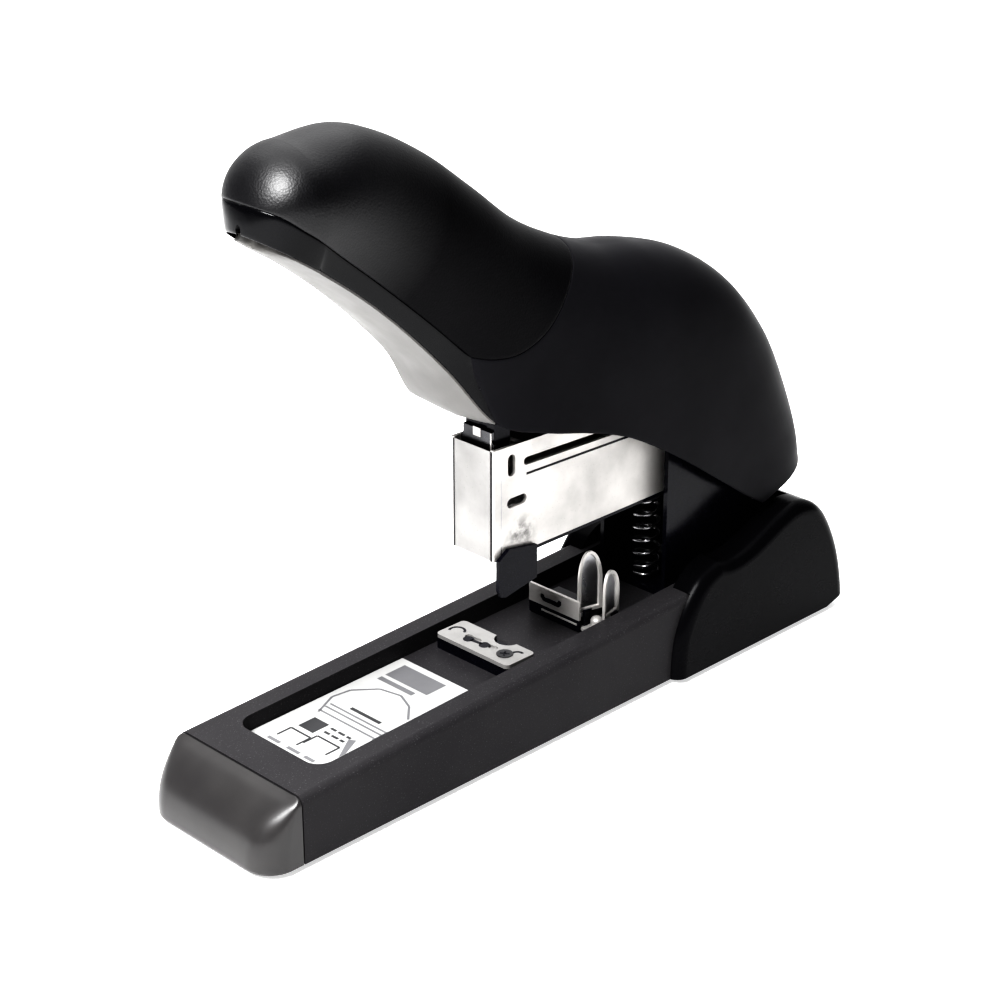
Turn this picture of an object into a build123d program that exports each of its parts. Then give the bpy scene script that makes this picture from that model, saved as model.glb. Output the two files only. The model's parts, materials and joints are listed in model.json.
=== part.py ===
"""Heavy-duty desk stapler, modelled as it comes apart on the bench.

Frame: +Z up, the nose points to -X, the rear cover to +X, Y is the width.
The origin is on the ground, midway along and across the stapler.
Side profiles are drawn as (station, height): the station runs rearwards from the
seam between the front cap and the base channel, the height from the channel's bottom edge.
"""

import os
from math import cos, radians, sin

from build123d import *

# ---------------------------------------------------------------- driving dimensions
# overall
front_station = -13.1       # nose of the front cap
rear_station = 221.3        # back of the rear cover
foot_height = 1.8           # rubber feet under the channel
seam_x = -(front_station + rear_station) / 2
running_gap = 0.3

# base channel
base_half = 25.0
base_sheet = 1.6
base_rear = 213.0
deck_front = 19.6           # deck height at the seam
deck_slope = 0.0385
deck_round = 2.4
tray_half = 17.0
tray_front = 12.0
tray_rear = 209.0
tray_floor_front = 15.0
tray_slope = 0.0262
tray_corner = 5.0

cap_corner = 8.0
foot_y = 18.0
label_front = 14.0
label_rear = 72.4
label_t = 0.2

# anvil
anvil_front = 83.4
anvil_rear = 94.8
anvil_half = 14.5
anvil_top = 22.0
anvil_plate_t = 1.2
anvil_screw_station = 88.2
anvil_screw_y = -8.8
anvil_screw_r = 1.6
anvil_notch_y = -3.0
anvil_notch_r = 4.0
anvil_groove_y = 1.0

# main pivot, bracket and rear cover
pivot_station = 190.0
pivot_height = 45.0
pin_r = 3.0
pin_clearance = 0.05
bracket_inner = 11.6
bracket_sheet = 1.5
bracket_front = 151.0
bracket_rear = 200.0
bracket_top = 74.0
cover_half = 28.0
cover_inner = 18.6
cover_front = 141.0
cover_opening_rear = 201.0
cover_round = 4.0

# magazine and staple drawer
mag_front = 84.5
mag_half = 8.4
mag_sheet = 1.0
mag_bottom = 51.5
mag_top = 84.6
mag_web_front = 96.0
mag_slot_half = 5.9
lift_station = 157.0
lift_r = 4.4
nose_plate_half = 6.9
rail_top = 64.6
rail_half = 5.7
staple_half = 6.5
staple_wire = 0.8
strip_front = 88.2
strip_rear = 140.0
rail_rear = 172.0
rod_r = 1.2
rod_height = 58.5
strap_t = 0.35
staple_bottom = 53.4
pusher_length = 12.0
pusher_top = 66.6
tongue_half = 1.2
blade_half = 6.4
blade_t = 1.1
blade_front = 86.3
blade_bottom = 67.4
yoke_top = 90.7
yoke_bottom = 80.7
yoke_half = 5.5
yoke_depth = 6.0

# paper foot
foot_plate_t = 1.2
foot_plate_length = 15.0

# paper stop
stop_station = 118.0
stop_half = 10.2
stop_top = 28.3
stop_length = 14.0
wing_z = 19.2
wing_far = -8.4
ear_far_y = -9.95
ear_near_y = -15.6
ear_station_far = 118.3
ear_station_near = 121.2
ear_t = 0.8
ear_length = 7.0
ear_height = 21.5
ear_roll = 0.7
ear_axis_z = 20.9
ear_toe = 10.0
stud_y = -12.8

# handle
shell_wall = 2.2
lever_half = 10.6
lever_sheet = 1.2
panel_half = 9.0
post_half = 4.0
nose_centre = (24.0, 162.0)
nose_reach = 16.6
nose_half = 16.8
nose_rise = 19.1
nose_rim_slope = 0.662
nose_fullness = 4.8
nose_angles = (8, 22, 42, 65)

# (rim station, rim height, crown station, crown height,
#  half width at the rim, half width at the widest, where it is widest, squareness)
handle_rings = [
    (24.0, 149.6, 24.0, 181.1, 12.0, 16.8, 0.50, 0.56),
    (33.0, 143.0, 38.3, 182.1, 12.0, 17.0, 0.48, 0.56),
    (42.5, 135.3, 51.9, 177.7, 12.0, 17.0, 0.46, 0.57),
    (53.5, 125.2, 66.2, 169.7, 12.0, 17.3, 0.46, 0.58),
    (65.0, 113.2, 80.7, 158.9, 12.5, 18.0, 0.46, 0.60),
    (78.0, 96.5, 95.5, 147.3, 17.0, 19.2, 0.45, 0.62),
    (93.0, 91.0, 111.0, 138.9, 20.6, 20.6, 0.35, 0.65),
    (108.0, 87.0, 127.4, 132.8, 21.8, 21.6, 0.30, 0.67),
    (123.0, 81.7, 144.6, 129.5, 22.4, 22.2, 0.30, 0.68),
    (137.0, 74.0, 163.5, 123.3, 22.4, 22.4, 0.30, 0.68),
    (150.0, 65.7, 181.6, 111.5, 22.4, 22.4, 0.30, 0.68),
    (160.0, 58.8, 196.2, 95.0, 22.3, 22.3, 0.30, 0.68),
    (169.0, 52.6, 205.8, 77.2, 22.1, 22.1, 0.30, 0.67),
    (178.0, 46.4, 212.0, 61.3, 21.7, 21.7, 0.30, 0.66),
    (186.0, 41.6, 213.5, 50.8, 21.2, 21.2, 0.30, 0.66),
]

os.makedirs("parts", exist_ok=True)


# ---------------------------------------------------------------- work planes
def side(y=0.0):
    """Plane of a side view: local x is the station, local y the height, normal -Y."""
    return Plane(origin=(seam_x, y, foot_height), x_dir=(1, 0, 0), z_dir=(0, -1, 0))


def plan(height=0.0):
    """Plane of a plan view at a height: local x is the station, local y is Y."""
    return Plane(origin=(seam_x, 0, foot_height + height), x_dir=(1, 0, 0), z_dir=(0, 0, 1))


def cross(station):
    """Plane of a cross-section, looking forwards: local x is Y, local y the height."""
    return Plane(origin=(seam_x + station, 0, foot_height), x_dir=(0, 1, 0), z_dir=(1, 0, 0))


def place(station, y, height):
    """A point given by station, Y and height, as a location in the part's frame."""
    return Location((seam_x + station, y, foot_height + height))


def deck_height(station):
    return deck_front + deck_slope * station


def tray_floor(station):
    return tray_floor_front + tray_slope * station


def finish(builder, name):
    """Label a finished piece and write it."""
    builder.part.label = name
    export_step(builder.part, f"parts/{name}.step")


# ---------------------------------------------------------------- base
with BuildPart() as base_channel:
    with BuildSketch(side()):
        with BuildLine():
            Polyline(
                (0, 0),
                (base_rear, 0),
                (base_rear, deck_height(base_rear)),
                (0, deck_height(0)),
                close=True,
            )
        make_face()
    extrude(amount=base_half, both=True)
    deck_edges = base_channel.edges().filter_by(
        lambda edge: edge.length > 150 and edge.center().Z > foot_height + 10
    )
    fillet(deck_edges, deck_round)
    with BuildSketch(side()):
        with BuildLine():
            Polyline(
                (tray_front, tray_floor(tray_front)),
                (tray_rear, tray_floor(tray_rear)),
                (tray_rear, 60),
                (tray_front, 60),
                close=True,
            )
        make_face()
    extrude(amount=tray_half, both=True, mode=Mode.SUBTRACT)
    tray_corners = base_channel.edges().filter_by(
        lambda edge: abs(edge.center().X - seam_x - tray_front) < 0.1
        and abs(abs(edge.center().Y) - tray_half) < 0.1
    )
    fillet(tray_corners, tray_corner)
    # underside of the pressed sheet: below the tray, and up inside each rim
    with BuildSketch(side()):
        with BuildLine():
            Polyline(
                (base_sheet, -1),
                (base_rear - base_sheet, -1),
                (base_rear - base_sheet, tray_floor(base_rear) - base_sheet),
                (base_sheet, tray_floor(0) - base_sheet),
                close=True,
            )
        make_face()
    extrude(amount=base_half - base_sheet, both=True, mode=Mode.SUBTRACT)
    for rim_y in (-1, 1):
        rim_mid = rim_y * (base_half + tray_half) / 2
        rim_hollow = (base_half - tray_half) / 2 - base_sheet
        with BuildSketch(side(rim_mid)):
            with BuildLine():
                Polyline(
                    (base_sheet, 5),
                    (base_rear - base_sheet, 5),
                    (base_rear - base_sheet, deck_height(base_rear) - base_sheet),
                    (base_sheet, deck_height(0) - base_sheet),
                    close=True,
                )
            make_face()
        extrude(amount=rim_hollow, both=True, mode=Mode.SUBTRACT)
finish(base_channel, "base_channel")


with BuildPart() as front_cap:
    with BuildSketch(plan()) as cap_plan:
        with Locations((front_station / 2 + 4, 0)):
            Rectangle(8 - front_station, 2 * base_half)
        fillet(cap_plan.vertices().group_by(Axis.X)[0], cap_corner)
    extrude(amount=30)
    with BuildSketch(side()):
        with BuildLine():
            cap_top = Spline(
                (0, deck_front - 0.1),
                (-4.2, 17.4),
                (-8.8, 13.6),
                (-11.8, 8.6),
                (front_station, 1.5),
                tangents=((-1, -0.2), (0, -1)),
            )
            Polyline(cap_top @ 1, (front_station, 0), (0, 0), cap_top @ 0)
        make_face()
    extrude(amount=base_half + 1, both=True, mode=Mode.INTERSECT)
    with BuildSketch(plan(-1)):
        with Locations((-5.4, 0)):
            RectangleRounded(8.0, 2 * base_half - 7, 3)
    extrude(amount=9, mode=Mode.SUBTRACT)
finish(front_cap, "front_cap")

with BuildPart() as bottom_plate:
    with BuildSketch(plan()):
        with Locations((base_rear / 2, 0)):
            RectangleRounded(base_rear - 2 * base_sheet - 1, 2 * (base_half - base_sheet) - 1, 3)
    extrude(amount=1.6)
finish(bottom_plate, "bottom_plate")

with BuildPart() as rubber_feet:
    with BuildSketch(plan(-foot_height)):
        for foot_station in (16, base_rear - 16):
            with Locations((foot_station, foot_y), (foot_station, -foot_y)):
                SlotOverall(18, 8)
    extrude(amount=foot_height)
finish(rubber_feet, "rubber_feet")

with BuildPart() as tray_label:
    with BuildSketch(side()):
        with BuildLine():
            Polyline(
                (label_front, tray_floor(label_front)),
                (label_rear, tray_floor(label_rear)),
                (label_rear, tray_floor(label_rear) + label_t),
                (label_front, tray_floor(label_front) + label_t),
                close=True,
            )
        make_face()
    extrude(amount=tray_half - 0.4, both=True)
    fillet(tray_label.edges().filter_by(Axis.Z).group_by(Axis.X)[0], tray_corner - 1)
finish(tray_label, "tray_label")

# ---------------------------------------------------------------- anvil
anvil_mid = (anvil_front + anvil_rear) / 2
anvil_length = anvil_rear - anvil_front
anvil_screw_place = place(anvil_screw_station, anvil_screw_y, anvil_top)

with BuildPart() as anvil_block:
    with BuildSketch(side()):
        with BuildLine():
            Polyline(
                (anvil_front + 0.4, tray_floor(anvil_front + 0.4)),
                (anvil_rear - 0.4, tray_floor(anvil_rear - 0.4)),
                (anvil_rear - 0.4, anvil_top - anvil_plate_t),
                (anvil_front + 0.4, anvil_top - anvil_plate_t),
                close=True,
            )
        make_face()
    extrude(amount=anvil_half - 0.4, both=True)
    with Locations(anvil_screw_place):
        Cylinder(anvil_screw_r, 20, mode=Mode.SUBTRACT)
finish(anvil_block, "anvil_block")

with BuildPart() as anvil_plate:
    with BuildSketch(plan(anvil_top - anvil_plate_t)) as anvil_outline:
        with Locations((anvil_mid, 0)):
            RectangleRounded(anvil_length, 2 * anvil_half, 1.5)
        with Locations((anvil_rear + 0.6, anvil_notch_y)):
            Circle(anvil_notch_r, mode=Mode.SUBTRACT)
    extrude(amount=anvil_plate_t)
    with BuildSketch(plan(anvil_top)):
        for groove_side in (-1, 1):
            groove_y = anvil_groove_y + 3.3 * groove_side
            with Locations((anvil_mid - 0.5, groove_y)):
                SlotOverall(5.6, 1.7, rotation=90)
            with Locations((anvil_mid - 0.5, groove_y - 1.8), (anvil_mid - 0.5, groove_y + 1.8)):
                Circle(1.15)
    extrude(amount=-0.6, mode=Mode.SUBTRACT)
    with Locations(anvil_screw_place):
        Cylinder(anvil_screw_r, 20, mode=Mode.SUBTRACT)
finish(anvil_plate, "anvil_plate")

with BuildPart() as anvil_screw:
    with Locations(anvil_screw_place):
        Cylinder(2.4, 0.25, align=(Align.CENTER, Align.CENTER, Align.MIN))
        Cylinder(anvil_screw_r, 3.0, align=(Align.CENTER, Align.CENTER, Align.MAX))
finish(anvil_screw, "anvil_screw")

# ---------------------------------------------------------------- pivot bracket and pin
pivot_place = place(pivot_station, 0, pivot_height)
across = (90, 0, 0)         # turns a cylinder's axis from Z to Y
along = (0, 90, 0)          # and from Z to X

with BuildPart() as pivot_bracket:
    with BuildSketch(side()):
        with BuildLine():
            Polyline(
                (bracket_front, tray_floor(bracket_front)),
                (bracket_rear, tray_floor(bracket_rear)),
                (bracket_rear, pivot_height + 4),
                (bracket_rear - 17, bracket_top),
                (bracket_front + 6, bracket_top),
                (bracket_front, bracket_top - 8),
                close=True,
            )
        make_face()
    extrude(amount=bracket_inner + bracket_sheet, both=True)
    with BuildSketch(side()):
        with BuildLine():
            Polyline(
                (bracket_front - 1, tray_floor(bracket_front) + bracket_sheet),
                (bracket_rear + 1, tray_floor(bracket_rear) + bracket_sheet),
                (bracket_rear + 1, bracket_top + 1),
                (bracket_front - 1, bracket_top + 1),
                close=True,
            )
        make_face()
    extrude(amount=bracket_inner, both=True, mode=Mode.SUBTRACT)
    with Locations(pivot_place):
        Cylinder(pin_r + pin_clearance, 60, rotation=across, mode=Mode.SUBTRACT)
finish(pivot_bracket, "pivot_bracket")

with BuildPart() as bracket_rivets:
    for rivet_station in (bracket_front + 22, bracket_rear - 12):
        rivet_base = tray_floor(rivet_station) + bracket_sheet + 0.1
        for rivet_y in (-6, 6):
            with Locations(place(rivet_station, rivet_y, rivet_base)):
                Cylinder(2.6, 1.2, align=(Align.CENTER, Align.CENTER, Align.MIN))
finish(bracket_rivets, "bracket_rivets")

pin_half = bracket_inner + bracket_sheet
with BuildPart() as main_pivot_pin:
    with Locations(pivot_place):
        Cylinder(pin_r, 2 * pin_half + 3.2, rotation=across)
    with Locations(place(pivot_station, -pin_half - 1.0, pivot_height)):
        Cylinder(5, 1.8, rotation=across)
finish(main_pivot_pin, "main_pivot_pin")

with BuildPart() as pin_clip:
    with Locations(place(pivot_station, pin_half + 0.7, pivot_height)):
        Cylinder(5, 0.9, rotation=across)
        Cylinder(pin_r, 2, rotation=across, mode=Mode.SUBTRACT)
    with Locations(place(pivot_station, pin_half + 0.7, pivot_height - 4)):
        Box(3.4, 2, 5, mode=Mode.SUBTRACT)
finish(pin_clip, "pin_clip")

# ---------------------------------------------------------------- rear cover
with BuildPart() as rear_cover:
    with BuildSketch(side()):
        with BuildLine():
            wing_front = Spline(
                (cover_front, 0),
                (142.3, 13.7),
                (149.6, 26.8),
                (160.0, 32.4),
                tangents=((0.02, 1), (1, 0.22)),
            )
            cover_top = Spline(
                wing_front @ 1,
                (181.0, 35.6),
                (197.0, 40.0),
                (206.0, 36.8),
                (213.5, 27.5),
                (219.0, 14.0),
                (rear_station, 2.6),
            )
            Polyline(cover_top @ 1, (212, 0), (cover_front, 0))
        make_face()
    extrude(amount=cover_half, both=True)
    cover_edges = rear_cover.edges().filter_by(
        lambda edge: abs(abs(edge.center().Y) - cover_half) < 0.1
        and edge.center().Z > foot_height + 12
    )
    fillet(cover_edges, cover_round)
    # room for the channel, the bay between the wings, and the hollow under the deck
    with BuildSketch(side()):
        with BuildLine():
            Polyline(
                (cover_front - 2, -1),
                (base_rear + running_gap, -1),
                (base_rear + running_gap, deck_height(base_rear) + 0.1),
                (cover_front - 2, deck_height(cover_front - 2) + 0.1),
                close=True,
            )
        make_face()
    extrude(amount=base_half + 0.1, both=True, mode=Mode.SUBTRACT)
    with BuildSketch(side()):
        with BuildLine():
            Polyline(
                (cover_front - 2, 1),
                (cover_opening_rear, 1),
                (cover_opening_rear, 60),
                (cover_front - 2, 60),
                close=True,
            )
        make_face()
    extrude(amount=cover_inner, both=True, mode=Mode.SUBTRACT)
    with BuildSketch(side()):
        with BuildLine():
            Polyline(
                (cover_opening_rear - 1, 2),
                (rear_station - 3.6, 2),
                (rear_station - 5.4, 12.5),
                (rear_station - 11.5, 26.0),
                (cover_opening_rear + 2.5, 33.0),
                (cover_opening_rear - 1, 34.0),
                close=True,
            )
        make_face()
    extrude(amount=cover_inner + 3, both=True, mode=Mode.SUBTRACT)
finish(rear_cover, "rear_cover")

# ---------------------------------------------------------------- magazine
with BuildPart() as magazine_channel:
    with BuildSketch(side()):
        with BuildLine():
            Polyline(
                (mag_front, mag_bottom),
                (156, mag_bottom),
                (180, 38.5),
                (190, 36.5),
                (197.5, 41),
                (198.5, 47),
                (195, 55),
                (180, 69),
                (160, 78),
                (130, 82.6),
                (104, 84.0),
                (mag_front, mag_top),
                close=True,
            )
        make_face()
    extrude(amount=mag_half, both=True)
    # inside: open at the nose and below, closed along the top by a web
    with BuildSketch(side()):
        with BuildLine():
            Polyline(
                (mag_front + mag_sheet, mag_bottom + 0.8),
                (155.6, mag_bottom + 0.8),
                (155.9, 25),
                (210, 25),
                (210, 40),
                (194, 54.3),
                (179.5, 67.9),
                (159.6, 76.8),
                (130, 81.4),
                (mag_web_front, 83.1),
                (mag_web_front, 90),
                (mag_front + mag_sheet, 90),
                close=True,
            )
        make_face()
    extrude(amount=mag_half - mag_sheet, both=True, mode=Mode.SUBTRACT)
    with BuildSketch(side()):
        with BuildLine():
            Polyline((80, 40), (170, 40), (170, 54), (80, 54), close=True)
        make_face()
    extrude(amount=mag_slot_half, both=True, mode=Mode.SUBTRACT)
    with BuildSketch(side()):
        with BuildLine():
            Polyline((80, 40), (90, 40), (90, 90), (80, 90), close=True)
        make_face()
    extrude(amount=nose_plate_half + 0.15, both=True, mode=Mode.SUBTRACT)
    with BuildSketch(side()):
        with Locations((91.2, 78.6)):
            SlotOverall(6.4, 2.8, rotation=90)
        with Locations((93.3, 67.4)):
            SlotOverall(7.6, 2.9)
        with Locations((124, 77.3)):
            SlotOverall(56, 2.3, rotation=-2)
    extrude(amount=mag_half + 1, both=True, mode=Mode.SUBTRACT)
    with Locations(pivot_place):
        Cylinder(pin_r + pin_clearance, 60, rotation=across, mode=Mode.SUBTRACT)
finish(magazine_channel, "magazine_channel")

mag_inner = mag_half - mag_sheet
with BuildPart() as magazine_rear_block:
    with Locations(place(182.5, 0, 57)):
        Box(8, 2 * mag_inner, 11)
    chamfer(magazine_rear_block.edges().filter_by(Axis.Y).group_by(Axis.Z)[-1], 1.5)
finish(magazine_rear_block, "magazine_rear_block")

with BuildPart() as spring_seat:
    with Locations(place(lift_station, 0, mag_bottom - 0.6)):
        Box(13, 2 * mag_inner, 1.2)
finish(spring_seat, "spring_seat")

with BuildPart() as press_return_spring:
    with Locations(pivot_place):
        Cylinder(5.6, 12, rotation=across)
        Cylinder(3.4, 20, rotation=across, mode=Mode.SUBTRACT)
finish(press_return_spring, "press_return_spring")

# ---------------------------------------------------------------- staple drawer
with BuildPart() as drawer_frame:
    with BuildSketch(side()):
        with BuildLine():
            Polyline(
                (mag_front, mag_bottom - 0.5),
                (mag_front + mag_sheet, mag_bottom - 0.5),
                (mag_front + mag_sheet, mag_top - 0.9),
                (mag_front, mag_top - 0.9),
                close=True,
            )
        make_face()
        with BuildLine():
            Polyline(
                (mag_front + 0.4, mag_bottom + 1.1),
                (rail_rear, mag_bottom + 1.1),
                (rail_rear, 62),
                (mag_front + 14, 62),
                (mag_front + 0.4, 66),
                close=True,
            )
        make_face()
    extrude(amount=nose_plate_half, both=True)
    with BuildSketch(side()):
        with BuildLine():
            Polyline(
                (mag_front + mag_sheet, mag_bottom - 1),
                (rail_rear + 1, mag_bottom - 1),
                (rail_rear + 1, 90),
                (mag_front + mag_sheet, 90),
                close=True,
            )
        make_face()
    extrude(amount=nose_plate_half - strap_t, both=True, mode=Mode.SUBTRACT)
finish(drawer_frame, "drawer_frame")

with BuildPart() as drawer_tail:
    with Locations(place(rail_rear + 1.5, 0, 59.1)):
        Box(3, 2 * nose_plate_half, 12.6)
        chamfer(drawer_tail.edges().filter_by(Axis.Y), 0.8)
    with Locations(place(rail_rear, 0, rod_height)):
        Cylinder(rod_r, 20, rotation=along, mode=Mode.SUBTRACT)
finish(drawer_tail, "drawer_tail")

rail_front = strip_front - 0.5
with BuildPart() as staple_rail:
    with BuildSketch(side()):
        with BuildLine():
            Polyline(
                (rail_front, mag_bottom + 1.1),
                (rail_rear, mag_bottom + 1.1),
                (rail_rear, rail_top),
                (rail_front, rail_top),
                close=True,
            )
        make_face()
    extrude(amount=rail_half, both=True)
    with BuildSketch(side()):
        with BuildLine():
            Polyline(
                (80, mag_bottom - 2),
                (rail_rear + 2, mag_bottom - 2),
                (rail_rear + 2, rail_top - 0.8),
                (80, rail_top - 0.8),
                close=True,
            )
        make_face()
    extrude(amount=rail_half - 0.8, both=True, mode=Mode.SUBTRACT)
    with BuildSketch(plan(rail_top + 1)):
        with Locations(((strip_front + 4 + rail_rear) / 2, 0)):
            Rectangle(rail_rear - strip_front - 6, 2 * tongue_half + 0.4)
    extrude(amount=-3, mode=Mode.SUBTRACT)
finish(staple_rail, "staple_rail")

with BuildPart() as staple_strip:
    with BuildSketch(cross(strip_front)):
        with BuildLine():
            Polyline(
                (-staple_half, staple_bottom),
                (-staple_half, rail_top + staple_wire + 0.05),
                (staple_half, rail_top + staple_wire + 0.05),
                (staple_half, staple_bottom),
                (staple_half - staple_wire + 0.05, staple_bottom),
                (staple_half - staple_wire + 0.05, rail_top + 0.05),
                (-staple_half + staple_wire - 0.05, rail_top + 0.05),
                (-staple_half + staple_wire - 0.05, staple_bottom),
                close=True,
            )
        make_face()
    extrude(amount=strip_rear - strip_front)
finish(staple_strip, "staple_strip")

rod_front = strip_front + 4
with BuildPart() as pusher_rod:
    with Locations(place((rod_front + rail_rear + 3) / 2, 0, rod_height)):
        Cylinder(rod_r, rail_rear + 3 - rod_front, rotation=along)
finish(pusher_rod, "pusher_rod")

pusher_rear = strip_rear + pusher_length
with BuildPart() as staple_pusher:
    # saddle over the rail, a tongue through its slot and a sleeve round the rod
    with BuildSketch(cross(strip_rear + 0.1)):
        with BuildLine():
            Polyline(
                (-staple_half, staple_bottom + 1),
                (-staple_half, pusher_top),
                (staple_half, pusher_top),
                (staple_half, staple_bottom + 1),
                (rail_half + 0.05, staple_bottom + 1),
                (rail_half + 0.05, rail_top + 0.05),
                (tongue_half, rail_top + 0.05),
                (tongue_half, rod_height),
                (-tongue_half, rod_height),
                (-tongue_half, rail_top + 0.05),
                (-rail_half - 0.05, rail_top + 0.05),
                (-rail_half - 0.05, staple_bottom + 1),
                close=True,
            )
        make_face()
    extrude(amount=pusher_length)
    with Locations(place(strip_rear + 3.1, 0, rod_height)):
        Cylinder(3.4, 6, rotation=along)
    with Locations(place(strip_rear, 0, rod_height)):
        Cylinder(rod_r + 0.08, 80, rotation=along, mode=Mode.SUBTRACT)
    with Locations(place(strip_rear + 6.1 + 5, 0, rod_height)):
        Cylinder(3.4, 10, rotation=along, mode=Mode.SUBTRACT)
finish(staple_pusher, "staple_pusher")

spring_front = strip_rear + 6.2
spring_rear = rail_rear - 0.1
with BuildPart() as pusher_spring:
    with Locations(place((spring_front + spring_rear) / 2, 0, rod_height)):
        Cylinder(3.0, spring_rear - spring_front, rotation=along)
        Cylinder(2.2, 60, rotation=along, mode=Mode.SUBTRACT)
finish(pusher_spring, "pusher_spring")

lift_top = mag_bottom - 1.3
lift_bottom = tray_floor(lift_station) + bracket_sheet + 0.2
with BuildPart() as lift_spring:
    with Locations(place(lift_station, 0, (lift_top + lift_bottom) / 2)):
        Cylinder(lift_r, lift_top - lift_bottom)
        Cylinder(lift_r - 1.4, 60, mode=Mode.SUBTRACT)
finish(lift_spring, "lift_spring")

# ---------------------------------------------------------------- driver
with BuildPart() as driver_blade:
    with Locations(place(blade_front + blade_t / 2, 0, (blade_bottom + yoke_top - 2) / 2)):
        Box(blade_t, 2 * blade_half, yoke_top - 2 - blade_bottom)
finish(driver_blade, "driver_blade")

yoke_front = blade_front + blade_t
yoke_mid = (yoke_bottom + yoke_top) / 2
with BuildPart() as driver_yoke:
    with BuildSketch(cross(yoke_front)):
        with Locations((0, yoke_mid)):
            Rectangle(2 * yoke_half, yoke_top - yoke_bottom)
    extrude(amount=yoke_depth)
    with BuildSketch(cross(yoke_front + 1.2)):
        with Locations((0, yoke_mid - 1.2)):
            Rectangle(2 * yoke_half - 2.4, yoke_top - yoke_bottom)
    extrude(amount=yoke_depth, mode=Mode.SUBTRACT)
    with BuildSketch(cross(yoke_front - 1)):
        with Locations((0, yoke_top - 2.9)):
            Rectangle(2.8, 2.6)
    extrude(amount=4, mode=Mode.SUBTRACT)
finish(driver_yoke, "driver_yoke")

# ---------------------------------------------------------------- paper foot
foot_front = mag_front + 0.4
foot_rear = foot_front + foot_plate_length
with BuildPart() as paper_foot:
    with BuildSketch(side(-mag_half - running_gap)):
        with BuildLine():
            Polyline(
                (foot_front, 46),
                (foot_front, 42.8),
                (foot_front + 0.9, 40.8),
                (foot_front + 2.8, 40.3),
                (foot_rear, 42.4),
                (foot_rear, 52.6),
                (foot_front + 4, 54.4),
                (foot_front, 52.0),
                close=True,
            )
        make_face()
    extrude(amount=foot_plate_t)
finish(paper_foot, "paper_foot")

# ---------------------------------------------------------------- paper stop
stop_floor = tray_floor(stop_station)
wing_near = -tray_half + 0.3
with BuildPart() as stop_base:
    with BuildSketch(side()):
        with BuildLine():
            Polyline(
                (stop_station, tray_floor(stop_station) + 0.1),
                (stop_station + stop_length, tray_floor(stop_station + stop_length) + 0.1),
                (stop_station + stop_length, 20.2),
                (stop_station + stop_length - 2, 22.2),
                (stop_station, 22.2),
                close=True,
            )
        make_face()
    extrude(amount=stop_half, both=True)
    with Locations(place(stop_station + 7, -stop_half, 22)):
        Box(20, 2 * (stop_half + wing_far), 10, mode=Mode.SUBTRACT)
finish(stop_base, "stop_base")

with BuildPart() as stop_plate:
    with BuildSketch(cross(stop_station - 0.9)):
        with Locations((0, (stop_floor + 0.6 + stop_top) / 2)):
            Rectangle(2 * stop_half, stop_top - stop_floor - 0.6)
        with Locations((1.0, 25.4)):
            SlotOverall(8, 1.8, mode=Mode.SUBTRACT)
    extrude(amount=0.9)
finish(stop_plate, "stop_plate")

with BuildPart() as stop_wing:
    with BuildSketch(plan(wing_z)):
        with Locations((stop_station + 7, (wing_near + wing_far) / 2)):
            RectangleRounded(14, wing_far - wing_near, 1.2)
    extrude(amount=0.9)
finish(stop_wing, "stop_wing")

with BuildPart() as stop_stud:
    with Locations(place(ear_station_far + 3.6, stud_y, wing_z + 0.9)):
        Cylinder(1.5, 1.6, align=(Align.CENTER, Align.CENTER, Align.MIN))
    fillet(stop_stud.faces().sort_by(Axis.Z)[-1].edges(), 0.8)
finish(stop_stud, "stop_stud")


def make_ear(front, y, toe):
    """An arched ear on a rolled foot, turned a little about the vertical."""
    with BuildPart() as ear:
        with BuildSketch(Plane.XZ):
            with Locations((0, (ear_height - ear_length / 2) / 2)):
                Rectangle(ear_length, ear_height - ear_length / 2)
            with Locations((0, ear_height - ear_length / 2)):
                Circle(ear_length / 2)
        extrude(amount=ear_t / 2, both=True)
        Cylinder(ear_roll, ear_length, rotation=along)
    seat = place(front + ear_length / 2, y, ear_axis_z)
    return ear.part.moved(Location((0, 0, 0), (0, 0, toe))).moved(seat)


with BuildPart() as stop_ear_far:
    add(make_ear(ear_station_far, ear_far_y, ear_toe))
finish(stop_ear_far, "stop_ear_far")

with BuildPart() as stop_ear_near:
    add(make_ear(ear_station_near, ear_near_y, -ear_toe))
finish(stop_ear_near, "stop_ear_near")


# ---------------------------------------------------------------- handle
def ring_face(ring, inset=0.0, drop=0.0):
    """One cross-section of the handle, from its rim up to its crown, pulled in by inset."""
    rim_x, rim_z, crown_x, crown_z, rim_half, wide, wide_at, square = ring
    height = ((crown_x - rim_x) ** 2 + (crown_z - rim_z) ** 2) ** 0.5
    lean_x = (crown_x - rim_x) / height
    lean_z = (crown_z - rim_z) / height
    section = Plane(
        origin=(seam_x + rim_x, 0, foot_height + rim_z),
        x_dir=(0, 1, 0),
        z_dir=(lean_z, 0, -lean_x),
    )
    low = rim_half - inset
    out = wide - inset
    waist = wide_at * height
    top = height - inset
    with BuildSketch(section) as face:
        with BuildLine():
            for hand in (-1, 1):
                Line((0, -drop), (hand * low, -drop))
                Bezier(
                    (hand * low, -drop),
                    (hand * (low + (out - low) * 0.55), 0.35 * waist),
                    (hand * out, 0.65 * waist),
                    (hand * out, waist),
                )
                Bezier(
                    (hand * out, waist),
                    (hand * out, waist + square * (top - waist)),
                    (hand * square * out, top),
                    (0, top),
                )
        make_face()
    return face.sketch


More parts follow.
